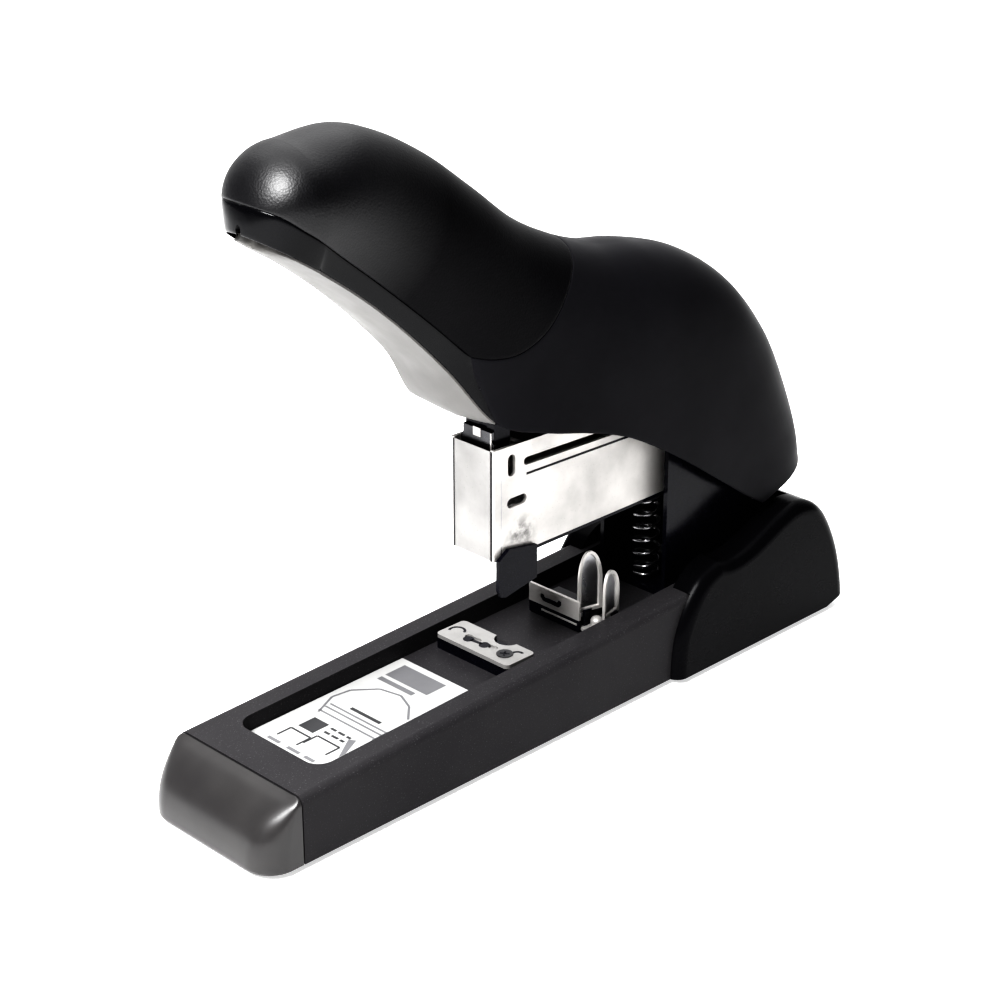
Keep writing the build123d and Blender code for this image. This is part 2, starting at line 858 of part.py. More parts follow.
def nose_ring(angle, inset):
    """A cross-section of the rounded nose, angle degrees back from its tip."""
    nose_x, nose_z = nose_centre
    rim_x, rim_z = handle_rings[0][:2]
    station = nose_x - (nose_reach - inset) * cos(radians(angle))
    grown = sin(radians(angle))
    low = rim_z + (rim_x - station) * nose_rim_slope
    top = nose_z + (nose_rise - inset) * grown
    fuller = nose_fullness * (1 - grown) ** 0.4
    rim_half = (handle_rings[0][4] - inset + fuller) * grown
    return (station, low, station, top, rim_half, (nose_half - inset) * grown, 0.5, 0.56)


def handle_body(inset=0.0, drop=0.0):
    """The handle as a solid: rings lofted back from the nose, and the nose in front of them."""
    with BuildPart() as body:
        for ring in handle_rings:
            add(ring_face(ring, inset, drop))
        loft()
    with BuildPart() as nose:
        for angle in nose_angles:
            add(ring_face(nose_ring(angle, inset), 0, drop))
        add(ring_face(handle_rings[0], inset, drop))
        loft()
    return body.part + nose.part


cut_far = 60

trim_seam = [
    (7, 168.5), (17.2, 161.8), (27, 154), (38.8, 144.6), (51.1, 134.2), (60.5, 125.8), (69.3, 117.4)
]
grip_seam = [(76, 115.6), (84, 115.6), (92, 118.6), (98, 123), (105, 129.5), (112, 136), (117, 143)]
hood_front = [(69.3, 117.4), (70.9, 111.3), (77.1, 97), (80, 94)]

handle_shell = handle_body() - handle_body(shell_wall, 2.0)


def shell_piece(outline):
    """The piece of the handle shell inside a side outline."""
    with BuildPart() as piece:
        with BuildSketch(side()):
            with BuildLine():
                Polyline(*outline, close=True)
            make_face()
        extrude(amount=cut_far, both=True)
        add(handle_shell, mode=Mode.INTERSECT)
    return piece.part


with BuildPart() as grip_shell:
    add(shell_piece([(-40, 168.5), *trim_seam, *grip_seam, (122, 150), (140, 220), (-40, 220)]))
finish(grip_shell, "grip_shell")

with BuildPart() as trim_band:
    add(shell_piece([(-40, 168.5), *trim_seam, *hood_front[1:], (79, 80), (-40, 80)]))
finish(trim_band, "trim_band")

with BuildPart() as hood_shell:
    add(
        shell_piece(
            [
                *hood_front[::-1],
                *grip_seam,
                (122, 150),
                (140, 220),
                (260, 220),
                (260, 20),
                (79, 20),
                (79, 80),
            ]
        )
    )
finish(hood_shell, "hood_shell")

with BuildPart() as underside_panel:
    with BuildSketch(side()):
        with BuildLine():
            Polyline(
                (14, 158.6),
                (24, 151.6),
                (33, 145.0),
                (42.5, 137.4),
                (53.5, 127.4),
                (65, 115.6),
                (77, 99.0),
                (78.6, 100.2),
                (66.6, 117.0),
                (54.8, 129.0),
                (43.6, 139.2),
                (34, 146.8),
                (25, 153.5),
                (15.2, 160.3),
                close=True,
            )
        make_face()
    extrude(amount=panel_half, both=True)
finish(underside_panel, "underside_panel")

with BuildPart() as lever_frame:
    with BuildSketch(side()):
        with BuildLine():
            Polyline(
                (86, 101),
                (120, 93.5),
                (150, 80.5),
                (170, 66),
                (180, 52),
                (181, 40),
                (186, 36.5),
                (194, 36.5),
                (199, 43),
                (200, 52),
                (197, 66),
                (186, 84),
                (166, 100),
                (140, 110),
                (110, 114),
                (86, 116),
                close=True,
            )
        make_face()
    extrude(amount=lever_half, both=True)
    with BuildSketch(side()):
        with BuildLine():
            Polyline(
                (80, 114.8),
                (110, 112.8),
                (139.6, 108.7),
                (165, 98.8),
                (178, 88),
                (186, 30),
                (80, 30),
                close=True,
            )
        make_face()
        with BuildLine():
            Polyline((170, 30), (210, 30), (210, 90), (178, 88), close=True)
        make_face()
    extrude(amount=lever_half - lever_sheet, both=True, mode=Mode.SUBTRACT)
    with Locations(pivot_place):
        Cylinder(pin_r + pin_clearance, 60, rotation=across, mode=Mode.SUBTRACT)
finish(lever_frame, "lever_frame")

with BuildPart() as press_post:
    with Locations(place(95.2, 0, 102.2)):
        Box(5.4, 2 * post_half, 22.5)
    chamfer(press_post.edges().filter_by(Axis.Y).group_by(Axis.Z)[0], 0.5)
finish(press_post, "press_post")

with BuildPart() as lever_arm:
    with BuildSketch(side()):
        with BuildLine():
            Polyline(
                (24, 160),
                (48, 146),
                (68, 131),
                (86, 116),
                (110, 114),
                (112, 118),
                (92, 126),
                (72, 141),
                (50, 155),
                (26, 168),
                close=True,
            )
        make_face()
    extrude(amount=5, both=True)
finish(lever_arm, "lever_arm")

with BuildPart() as shell_rib:
    with Locations(place(126, 0, 119.2)):
        Box(12, 12, 14)
    with BuildSketch(side()):
        with BuildLine():
            Polyline((86, 100), (86, 116.2), (110, 114.2), (140, 110.2), (140, 100), close=True)
        make_face()
    extrude(amount=20, both=True, mode=Mode.SUBTRACT)
finish(shell_rib, "shell_rib")

with BuildPart() as shell_screws:
    for screw_station in (102, 132):
        for screw_y in (-6, 6):
            web_z = 113.1 if screw_station == 102 else 109.3
            with Locations(place(screw_station, screw_y, web_z)):
                Cylinder(2.6, 1.4, align=(Align.CENTER, Align.CENTER, Align.MAX))
finish(shell_screws, "shell_screws")
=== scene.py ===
import json
import math

import bmesh
import bpy
import numpy as np
from mathutils import Matrix, Vector


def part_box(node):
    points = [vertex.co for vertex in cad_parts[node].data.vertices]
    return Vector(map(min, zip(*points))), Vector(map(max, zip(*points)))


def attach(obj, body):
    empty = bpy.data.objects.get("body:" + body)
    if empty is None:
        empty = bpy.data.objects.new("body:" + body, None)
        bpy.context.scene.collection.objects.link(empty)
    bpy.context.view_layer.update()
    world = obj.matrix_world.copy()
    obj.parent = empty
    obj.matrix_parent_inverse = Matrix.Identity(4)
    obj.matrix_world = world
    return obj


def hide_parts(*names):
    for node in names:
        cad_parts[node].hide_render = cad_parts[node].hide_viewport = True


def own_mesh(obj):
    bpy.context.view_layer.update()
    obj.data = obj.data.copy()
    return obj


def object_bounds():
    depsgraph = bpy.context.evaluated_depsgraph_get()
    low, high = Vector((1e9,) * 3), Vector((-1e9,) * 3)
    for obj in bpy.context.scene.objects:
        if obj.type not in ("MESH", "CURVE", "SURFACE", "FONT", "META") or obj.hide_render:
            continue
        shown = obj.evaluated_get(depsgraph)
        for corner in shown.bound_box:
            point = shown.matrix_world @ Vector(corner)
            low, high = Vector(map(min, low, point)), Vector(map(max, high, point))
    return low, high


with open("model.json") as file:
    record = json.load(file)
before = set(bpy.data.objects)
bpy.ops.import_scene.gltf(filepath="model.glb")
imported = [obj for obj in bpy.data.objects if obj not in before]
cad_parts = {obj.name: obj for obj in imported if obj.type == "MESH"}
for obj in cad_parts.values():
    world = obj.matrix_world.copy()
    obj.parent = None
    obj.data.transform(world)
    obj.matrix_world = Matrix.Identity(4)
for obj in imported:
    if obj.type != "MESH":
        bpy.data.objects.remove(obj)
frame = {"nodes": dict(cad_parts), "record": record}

cad_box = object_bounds()
nodes = frame["nodes"]

# ------------------------------------------------------------------ measures
# Side profiles use the same (station, height) pair as the CAD, in millimetres:
# the station runs rearwards from the front cap's seam, the height from the channel's edge.
MM = 0.001
CAP_REACH = 13.1
SEAM = cad_box[0][0] / MM + CAP_REACH
FOOT = 1.8
BASE_HALF = 25.0
PIVOT_STATION, PIVOT_HEIGHT = 190, 45


def spot(station, y, height):
    """A point in metres of the row frame."""
    return Vector(((SEAM + station) * MM, y * MM, (FOOT + height) * MM))


def row(station, y, height):
    """The same point in millimetres of the row frame, for bmesh work."""
    return Vector((SEAM + station, y, FOOT + height))


def node_corners(node):
    """A CAD node's lowest and highest corner, each as (station, y, height)."""
    return [(c.x / MM - SEAM, c.y / MM, c.z / MM - FOOT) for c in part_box(node)]


def tray_floor(station):
    """The height of the sloping tray, which carries the label."""
    return 15.0 + 0.0262 * station


def circle(steps):
    """Angles once round, in radians."""
    return np.linspace(0, 2 * math.pi, steps + 1)[:-1]


# ------------------------------------------------------------------ materials
class Shader:
    """A Principled material with object-space noise for its colour, gloss and surface."""

    def __init__(self, name):
        self.mat = bpy.data.materials.new(name)
        self.mat.use_nodes = True
        self.tree = self.mat.node_tree
        self.bsdf = next(n for n in self.tree.nodes if n.type == "BSDF_PRINCIPLED")
        self.coords = self.tree.nodes.new("ShaderNodeTexCoord").outputs["Object"]

    def node(self, kind, **settings):
        made = self.tree.nodes.new(kind)
        for key, value in settings.items():
            setattr(made, key, value)
        return made

    def link(self, source, target):
        self.tree.links.new(source, target)

    def noise(self, scale, detail=4.0, stretch=(1, 1, 1), rough=0.55):
        mapping = self.node("ShaderNodeMapping")
        mapping.inputs["Scale"].default_value = stretch
        self.link(self.coords, mapping.inputs["Vector"])
        noise = self.node("ShaderNodeTexNoise")
        noise.inputs["Scale"].default_value = scale
        noise.inputs["Detail"].default_value = detail
        noise.inputs["Roughness"].default_value = rough
        self.link(mapping.outputs[0], noise.inputs["Vector"])
        return noise.outputs["Fac"]

    def cells(self, scale):
        cells = self.node("ShaderNodeTexVoronoi")
        cells.inputs["Scale"].default_value = scale
        self.link(self.coords, cells.inputs["Vector"])
        return cells.outputs["Distance"]

    def distance(self, point):
        away = self.node("ShaderNodeVectorMath", operation="DISTANCE")
        self.link(self.coords, away.inputs[0])
        away.inputs[1].default_value = point
        return away.outputs["Value"]

    def span(self, value, low, high, start=0.0, end=1.0):
        """Maps value from start..end to low..high."""
        ramp = self.node("ShaderNodeMapRange")
        ramp.inputs["From Min"].default_value = start
        ramp.inputs["From Max"].default_value = end
        ramp.inputs["To Min"].default_value = low
        ramp.inputs["To Max"].default_value = high
        self.link(value, ramp.inputs["Value"])
        return ramp.outputs["Result"]

    def mix(self, factor, first, second):
        mix = self.node("ShaderNodeMix", data_type="RGBA")
        for socket, value in ((mix.inputs[6], first), (mix.inputs[7], second)):
            if isinstance(value, tuple):
                socket.default_value = (*value, 1.0)
            else:
                self.link(value, socket)
        self.link(factor, mix.inputs[0])
        return mix.outputs[2]

    def colour(self, value):
        self.link(value, self.bsdf.inputs["Base Color"])

    def gloss(self, value):
        self.link(value, self.bsdf.inputs["Roughness"])

    def bump(self, *layers):
        """Each layer is a height, its depth in millimetres and its strength."""
        normal = None
        for height, depth, strength in layers:
            bump = self.node("ShaderNodeBump")
            bump.inputs["Strength"].default_value = strength
            bump.inputs["Distance"].default_value = depth * MM
            self.link(height, bump.inputs["Height"])
            if normal is not None:
                self.link(normal, bump.inputs["Normal"])
            normal = bump.outputs["Normal"]
        self.link(normal, self.bsdf.inputs["Normal"])

    def fixed(self, **values):
        for key, value in values.items():
            self.bsdf.inputs[key.replace("_", " ")].default_value = value


def plastic(name, dark, light, rough, grain=900.0, depth=0.02, strength=0.25, shine=0.3):
    """Moulded plastic: slow colour drift, a fine spark-eroded grain and faint smears."""
    s = Shader(name)
    s.colour(s.mix(s.span(s.noise(28, 5), 0, 1, 0.3, 0.7), dark, light))
    smear = s.noise(60, 6, (0.5, 1.2, 1.0))
    s.gloss(s.span(smear, rough - 0.05, rough + 0.07, 0.3, 0.7))
    s.bump((s.noise(grain, 3), depth, strength), (s.noise(38, 2), 0.05, 0.08))
    s.fixed(Specular_IOR_Level=shine)
    return s.mat


def coated(name, dark, light, rough, orange=420.0, depth=0.02, shine=0.3):
    """Powder coat or enamel on steel: a soft orange peel and dust-fine flecks."""
    s = Shader(name)
    flecks = s.span(s.noise(2400, 2), 0, 1, 0.62, 0.74)
    base = s.mix(s.span(s.noise(22, 4), 0, 1, 0.3, 0.7), dark, light)
    s.colour(s.mix(flecks, base, tuple(min(1.0, c * 1.8 + 0.01) for c in light)))
    s.gloss(s.span(s.noise(85, 6), rough - 0.05, rough + 0.06, 0.3, 0.7))
    s.bump((s.noise(orange, 2), depth, 0.25))
    s.fixed(Specular_IOR_Level=shine)
    return s.mat


def plated(name, dark, light, rough, stretch=(0.06, 1, 1), metal=1.0, smudge=None):
    """Nickel plate on rolled steel: drawn lines, cloudy smudges and tiny pits.

    smudge is the place of one oily print.
    """
    s = Shader(name)
    lines = s.noise(1400, 3, stretch)
    cloud = s.noise(70, 7)
    pits = s.span(s.cells(900), 1, 0, 0.04, 0.12)
    tone = s.mix(s.span(cloud, 0, 1, 0.35, 0.68), dark, light)
    if smudge:
        near = s.span(s.distance(smudge), 1, 0, 2 * MM, 7 * MM)
        blot = s.node("ShaderNodeMath", operation="MULTIPLY")
        s.link(near, blot.inputs[0])
        s.link(s.span(s.noise(330, 5), 0, 0.8, 0.42, 0.6), blot.inputs[1])
        tone = s.mix(blot.outputs[0], tone, tuple(c * 0.25 for c in dark))
    s.colour(s.mix(s.span(pits, 0, 0.5), tone, tuple(c * 0.35 for c in dark)))
    s.gloss(s.span(cloud, rough + 0.1, rough - 0.04, 0.35, 0.65))
    s.bump((lines, 0.006, 0.35), (s.noise(55, 3), 0.03, 0.12))
    s.fixed(Metallic=metal)
    return s.mat


def grip_rubber(name, dark, light, rough, painted_highlight_at):
    """Over-moulded rubber with a pebbled grain; its specular level is raised round the given place on
    the nose, a painted highlight that brightens the key light's reflection there.
    """
    s = Shader(name)
    s.colour(s.mix(s.span(s.noise(30, 5), 0, 1, 0.3, 0.7), dark, light))
    s.gloss(s.span(s.noise(24, 6), rough, rough + 0.08, 0.3, 0.7))
    s.bump((s.cells(1700), 0.06, 0.55), (s.noise(2600, 3), 0.035, 0.5), (s.noise(30, 2), 0.05, 0.06))
    # specular level 0.5 near the given place, falling to 0.1 away from it: a painted highlight on the
    # nose
    s.link(s.span(s.distance(painted_highlight_at), 0.5, 0.1, 16 * MM, 44 * MM), s.bsdf.inputs["Specular IOR Level"])
    s.fixed(Sheen_Weight=0.01, Sheen_Roughness=0.3)
    return s.mat


# (kind, slot, darkest colour, lightest colour, roughness, anything else)
RECIPES = (
    (coated, "base_coat", (0.03, 0.0288, 0.031), (0.04, 0.0386, 0.0405), 0.34, {"shine": 0.05}),
    (plastic, "cap_plastic", (0.027, 0.0258, 0.0265), (0.04, 0.0385, 0.038), 0.34, {"shine": 0.42}),
    (plastic, "cover_plastic", (0.003, 0.003, 0.0036), (0.0055, 0.0053, 0.0065), 0.26, {"shine": 0.06}),
    (
        plastic, "hood_plastic", (0.0115, 0.0112, 0.013), (0.0165, 0.0162, 0.0185), 0.36,
        {"grain": 1300.0, "shine": 0.05},
    ),
    (
        plastic, "trim_plastic", (0.003, 0.003, 0.0036), (0.005, 0.005, 0.006), 0.13,
        {"grain": 700.0, "depth": 0.01, "strength": 0.1, "shine": 0.2},
    ),
    (plastic, "panel_plastic", (0.1, 0.097, 0.094), (0.13, 0.127, 0.122), 0.46, {"grain": 800.0}),
    (
        plated, "nickel", (0.42, 0.41, 0.4), (0.52, 0.505, 0.49), 0.38,
        {"metal": 0.5, "smudge": spot(95, -8.4, 56.5)},
    ),
    (
        coated, "black_steel", (0.0035, 0.0035, 0.006), (0.006, 0.006, 0.011), 0.16,
        {"orange": 300.0, "depth": 0.012, "shine": 0.16},
    ),
    # a darker copy of the nickel, painted shade, for the nose facing and the anvil plate, which face the
    # lights
    (plated, "shaded_nickel", (0.24, 0.236, 0.232), (0.3, 0.294, 0.288), 0.4, {"metal": 0.4}),
    (plated, "dark_steel", (0.05, 0.05, 0.052), (0.09, 0.09, 0.094), 0.3, {}),
    (plated, "spring_steel", (0.28, 0.28, 0.29), (0.5, 0.5, 0.51), 0.24, {"stretch": (1, 1, 0.1)}),
    (plated, "staple_steel", (0.45, 0.45, 0.47), (0.68, 0.68, 0.7), 0.3, {}),
    (plastic, "foot_rubber", (0.012, 0.012, 0.012), (0.02, 0.02, 0.02), 0.7, {}),
    (
        plastic, "label_film", (0.31, 0.31, 0.308), (0.38, 0.38, 0.375), 0.3,
        {"grain": 500.0, "depth": 0.01, "strength": 0.1},
    ),
    (
        grip_rubber, "grip_rubber", (0.0028, 0.0027, 0.0034), (0.0048, 0.0046, 0.0058), 0.38,
        # the place of the grip's painted highlight, on the nose
        {"painted_highlight_at": spot(22, -6, 172)},
    ),
    (plastic, "ink_grey", (0.1, 0.1, 0.105), (0.14, 0.14, 0.145), 0.36, {}),
    (plastic, "ink_dark", (0.02, 0.02, 0.022), (0.035, 0.035, 0.037), 0.36, {}),
)
MATS = {slot: kind(slot, dark, light, rough, **more) for kind, slot, dark, light, rough, more in RECIPES}


# ------------------------------------------------------------------ mesh tools
SMOOTH_ANGLE = math.radians(32)
BEVEL_ANGLE = math.radians(35)


def dress(obj, look, slot=None):
    """Gives a piece its material; its slot argument is not used."""
    obj.data.materials.clear()
    obj.data.materials.append(MATS[look])
    slot = slot or look


def smooth_group():
    """Geometry nodes that shade smooth except over edges sharper than SMOOTH_ANGLE."""
    group = bpy.data.node_groups.new("smooth_by_edge", "GeometryNodeTree")
    group.interface.new_socket("Geometry", in_out="INPUT", socket_type="NodeSocketGeometry")
    group.interface.new_socket("Geometry", in_out="OUTPUT", socket_type="NodeSocketGeometry")
    source = group.nodes.new("NodeGroupInput")
    target = group.nodes.new("NodeGroupOutput")
    faces = group.nodes.new("GeometryNodeSetShadeSmooth")
    edges = group.nodes.new("GeometryNodeSetShadeSmooth")
    edges.domain = "EDGE"
    angle = group.nodes.new("GeometryNodeInputMeshEdgeAngle")
    sharp = group.nodes.new("FunctionNodeCompare")
    sharp.operation = "GREATER_THAN"
    sharp.inputs[1].default_value = SMOOTH_ANGLE
    edges.inputs["Shade Smooth"].default_value = False
    group.links.new(source.outputs[0], faces.inputs["Geometry"])
    group.links.new(faces.outputs[0], edges.inputs["Geometry"])
    group.links.new(angle.outputs["Unsigned Angle"], sharp.inputs[0])
    group.links.new(sharp.outputs[0], edges.inputs["Selection"])
    group.links.new(edges.outputs[0], target.inputs[0])
    return group


SMOOTH = smooth_group()


def soften(obj, width):
    """Rounded edges, width in millimetres, and smooth shading, as modifiers."""
    bevel = obj.modifiers.new("edge", "BEVEL")
    bevel.width = width * MM
    bevel.segments = 2
    bevel.limit_method = "ANGLE"
    bevel.angle_limit = BEVEL_ANGLE
    bevel.use_clamp_overlap = True
    smooth = obj.modifiers.new("smooth", "NODES")
    smooth.node_group = SMOOTH


def piece(name, bm, slot, body, replaces=(), bevel=0.0, sharp=40, turned=False):
    """Turns a bmesh, in millimetres of the row frame, into a finished piece.

    sharp is the angle over which its edges stay hard; turned says its faces already look outwards.
    """
    bmesh.ops.remove_doubles(bm, verts=bm.verts, dist=0.0005)
    if not turned:
        bmesh.ops.recalc_face_normals(bm, faces=bm.faces)
    mesh = bpy.data.meshes.new(name)
    bm.to_mesh(mesh)
    bm.free()
    mesh.transform(Matrix.Scale(MM, 4))
    for polygon in mesh.polygons:
        polygon.use_smooth = True
    mesh.set_sharp_from_angle(angle=math.radians(sharp))
    obj = bpy.data.objects.new(name, mesh)
    bpy.context.scene.collection.objects.link(obj)
    dress(obj, slot)
    if bevel:
        soften(obj, bevel)
    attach(obj, body)
    if replaces:
        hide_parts(*replaces)
    return obj


def grid_faces(bm, rows, closed=False):
    """Skins a list of equally long rows of points."""
    made = [[bm.verts.new(p) for p in line] for line in rows]
    last = len(made[0])
    for a, b in zip(made, made[1:]):
        for j in range(last if closed else last - 1):
            k = (j + 1) % last
            bm.faces.new((a[j], a[k], b[k], b[j]))
    return made


def prism(bm, start, end):
    """A solid between two outlines with the same number of points."""
    start = [bm.verts.new(p) for p in start]
    end = [bm.verts.new(p) for p in end]
    bm.faces.new(start)
    bm.faces.new(list(reversed(end)))
    for i in range(len(start)):
        j = (i + 1) % len(start)
        bm.faces.new((start[j], start[i], end[i], end[j]))


def catmull(points, steps):
    """A smooth line through rows of numbers, steps points to a span."""
    pts = np.array(points, float)
    padded = np.vstack([2 * pts[0] - pts[1], pts, 2 * pts[-1] - pts[-2]])
    line = []
    for i in range(len(pts) - 1):
        a, b, c, d = padded[i : i + 4]
        square, cube = 2 * a - 5 * b + 4 * c - d, 3 * b - a - 3 * c + d
        for t in np.arange(steps) / steps:
            line.append(0.5 * (2 * b + (c - a) * t + square * t * t + cube * t**3))
    line.append(pts[-1])
    return np.array(line)


# ------------------------------------------------------------------ handle
# (rim station, rim height, crown station, crown height,
#  half width at the rim, half width at the widest, where it is widest, squareness)
RINGS = [
    (24.0, 149.6, 24.0, 181.1, 12.0, 16.8, 0.50, 0.56),
    (33.0, 143.0, 38.3, 182.1, 12.0, 17.0, 0.48, 0.56),
    (42.5, 135.3, 51.9, 177.7, 12.0, 17.0, 0.46, 0.57),
    (53.5, 125.2, 66.2, 169.7, 12.0, 17.3, 0.46, 0.58),
    (65.0, 113.2, 80.7, 158.9, 12.5, 18.0, 0.46, 0.60),
    (78.0, 96.5, 95.5, 147.3, 17.0, 19.2, 0.45, 0.62),
    (93.0, 91.0, 111.0, 138.9, 20.6, 20.6, 0.35, 0.65),
    (108.0, 87.0, 127.4, 132.8, 21.8, 21.6, 0.30, 0.67),
    (123.0, 81.7, 144.6, 129.5, 22.4, 22.2, 0.30, 0.68),
    (137.0, 74.0, 163.5, 123.3, 22.4, 22.4, 0.30, 0.68),
    (150.0, 65.7, 181.6, 111.5, 22.4, 22.4, 0.30, 0.68),
    (160.0, 58.8, 196.2, 95.0, 22.3, 22.3, 0.30, 0.68),
    (169.0, 52.6, 205.8, 77.2, 22.1, 22.1, 0.30, 0.67),
    (178.0, 46.4, 212.0, 61.3, 21.7, 21.7, 0.30, 0.66),
    (186.0, 41.6, 213.5, 50.8, 21.2, 21.2, 0.30, 0.66),
]
NOSE_X, NOSE_Z = 24.0, 162.0
NOSE_REACH, NOSE_RISE, NOSE_HALF = 16.5, 19.1, 16.8
NOSE_RIM, NOSE_RIM_SLOPE = 149.6, 0.662
RIM_HALF, NOSE_FULLNESS = 12.0, 4.8
NOSE_ANGLES = (3, 8, 15, 24, 34, 45, 57, 70, 80)
WAIST = 0.45


def nose_ring(angle):
    """A cross-section of the rounded nose, angle degrees back from its tip."""
    grown = math.sin(math.radians(angle))
    station = NOSE_X - NOSE_REACH * math.cos(math.radians(angle))
    low = NOSE_RIM + (NOSE_X - station) * NOSE_RIM_SLOPE
    half = (RIM_HALF + NOSE_FULLNESS * (1 - grown) ** 0.4) * grown
    return (station, low, station, NOSE_Z + NOSE_RISE * grown, half, NOSE_HALF * grown, 0.5, 0.56)


def bezier(a, b, c, d, t):
    """A number between a and d, drawn towards b and c on the way."""
    u = 1 - t
    return u**3 * a + 3 * u * u * t * b + 3 * u * t * t * c + t**3 * d


def ring_point(ring, side):
    """A point of a ring: side runs from -1 at the near rim, over 0 at the crown, to 1."""
    rim_x, rim_z, crown_x, crown_z, low, wide, wide_at, square = ring
    top = math.hypot(crown_x - rim_x, crown_z - rim_z)
    waist = wide_at * top
    w = 1 - abs(side)
    if w < WAIST:
        t = w / WAIST
        y = bezier(low, low + (wide - low) * 0.55, wide, wide, t)
        h = bezier(0, 0.35 * waist, 0.65 * waist, waist, t)
    else:
        t = (w - WAIST) / (1 - WAIST)
        y = bezier(wide, wide, square * wide, 0, t)
        h = bezier(waist, waist + square * (top - waist), top, top, t)
    x = rim_x + (crown_x - rim_x) * h / top
    z = rim_z + (crown_z - rim_z) * h / top
    return row(x, math.copysign(y, side) if side else 0.0, z)


def polyline(points):
    """A function that runs straight from point to point."""
    xs = [p[0] for p in points]
    ys = [p[1] for p in points]
    return lambda v: float(np.interp(v, xs, ys))


SEAM_LINE = catmull(
    [
        (-30, 168.9), (-10, 168.9), (7, 168.5), (17.2, 161.8), (27, 154), (38.8, 144.6),
        (51.1, 134.2), (60.5, 125.8), (69.3, 117.4),
    ],
    8,
)
GRIP_LINE = catmull(
    [
        (69.3, 117.4), (76, 115.6), (84, 115.6), (92, 118.6), (98, 123), (105, 129.5),
        (112, 136), (117, 143), (121, 152), (126, 166),
    ],
    8,
)
seam_height = polyline([*SEAM_LINE[:-1], *GRIP_LINE])
hood_front = polyline([(90, 81.5), (94, 80), (97, 77.1), (111.3, 70.9), (117.4, 69.3)])


def over_seam(p):
    """Height above the line where the grip meets the band and the hood."""
    return p.z - FOOT - seam_height(p.x - SEAM)


def behind_front(p):
    """Distance behind the hood's front edge, where the band ends."""
    return p.x - SEAM - hood_front(p.z - FOOT)


def before_front(p):
    return -behind_front(p)


def clip(bm, keep):
    """Cuts the skin along keep's zero line and drops what is on its negative side."""
    value = {v: keep(v.co) for v in bm.verts}
    for edge in list(bm.edges):
        a, b = edge.verts
        if value[a] * value[b] >= 0:
            continue
        share = value[a] / (value[a] - value[b])
        if 0.25 < share < 0.75:
            co = a.co.lerp(b.co, share)
            new = bmesh.utils.edge_split(edge, a, share)[1]
            new.co = co
            value[new] = 0.0
    for vert in list(bm.verts):
        for edge in vert.link_edges:
            other = edge.other_vert(vert)
            if value[other] * value[vert] < 0:
                share = value[vert] / (value[vert] - value[other])
                if share <= 0.5:
                    vert.co = vert.co.lerp(other.co, share)
                    value[vert] = 0.0
                    break
    for face in list(bm.faces):
        signs = [value[v] for v in face.verts]
        if min(signs) < 0 < max(signs):
            zero = [v for v in face.verts if value[v] == 0.0]
            if len(zero) >= 2:
                try:
                    bmesh.utils.face_split(face, zero[0], zero[-1])
                except ValueError:
                    continue
    gone = [f for f in bm.faces if min(value[v] for v in f.verts) < 0]
    bmesh.ops.delete(bm, geom=gone, context="FACES")


ROWS = catmull([nose_ring(a) for a in NOSE_ANGLES] + RINGS, 12)


def bisect(inside):
    """The two sides of the place between 0 and 1 where inside stops being true."""
    low, high = 0.0, 1.0
    for _ in range(30):
        middle = (low + high) / 2
        if inside(middle):
            low = middle
        else:
            high = middle
    return low, high


def seam_side(ring):
    """Where the seam crosses a ring, as ring_point's side; 0 once the crown is below it."""
    if over_seam(ring_point(ring, 0.0)) <= 0:
        return 0.0
    return bisect(lambda side: over_seam(ring_point(ring, side)) > 0)[0]


CROWN_SHARES = (0.25, 0.5, 0.68, 0.8, 0.88, 0.94, 0.975, 0.993)


def crown_rows():
    """The rings, with extra ones just ahead of where the seam runs over the crown."""
    sides = [seam_side(ring) for ring in ROWS]
    last = max(i for i, side in enumerate(sides) if side > 0)
    span = ROWS[last + 1] - ROWS[last]
    tip = ROWS[last] + span * bisect(lambda share: seam_side(ROWS[last] + span * share) > 0)[1]
    before = ROWS[last - 4]
    extra = [before + (tip - before) * share for share in CROWN_SHARES]
    rows = [*ROWS[: last - 3], *extra, tip, *ROWS[last + 1 :]]
    return rows, last - 3 + len(extra)


ROWS, CROWN_END = crown_rows()
SEAM_SIDES = [seam_side(ring) for ring in ROWS]
SEAM_SIDES[CROWN_END] = 0.0
EDGE_STEPS = [0, 0.003, 0.007, 0.013, 0.022]


def strip(start, end, count):
    """Sides from one edge of a moulding to the other, closer together at both edges."""
    length = end - start
    if abs(length) < 0.08:
        return list(np.linspace(start, end, count + 2 * len(EDGE_STEPS)))
    sign = math.copysign(1, length)
    first = [start + sign * step for step in EDGE_STEPS]
    last = [end - sign * step for step in reversed(EDGE_STEPS)]
    middle = np.linspace(first[-1], last[0], count + 2)[1:-1]
    return [*first, *middle, *last]


CORE_LINE = polyline([((r[0] + r[2]) / 2, (r[1] + r[3]) / 2) for r in ROWS])


def outward_normals(bm):
    """Area-weighted vertex normals that always point away from the handle's core."""
    normals = {}
    for v in bm.verts:
        out = Vector((0, v.co.y, v.co.z - FOOT - CORE_LINE(v.co.x - SEAM))).normalized()
        total = sum((f.normal * f.calc_area() for f in v.link_faces), out * 1e-4)
        normals[v] = total.normalized() if total.dot(out) > 0 else out
    return normals


ROLL_DEPTH, ROLL_REACH, WALL = 0.34, 0.7, 1.7


def rolled(bm, edges):
    """Lets the skin dip at its seams, so that each moulding ends in a rounded edge."""
    bm.normal_update()
    normals = outward_normals(bm)
    moves = {}
    for v in bm.verts:
        distance = min(edge(v.co) for edge in edges)
        if distance < ROLL_REACH:
            left = 1 - distance / ROLL_REACH
            dip = ROLL_DEPTH * (1 - math.sqrt(max(0.0, 1 - left * left)))
            moves[v] = v.co - normals[v] * dip
    for v, co in moves.items():
        v.co = co


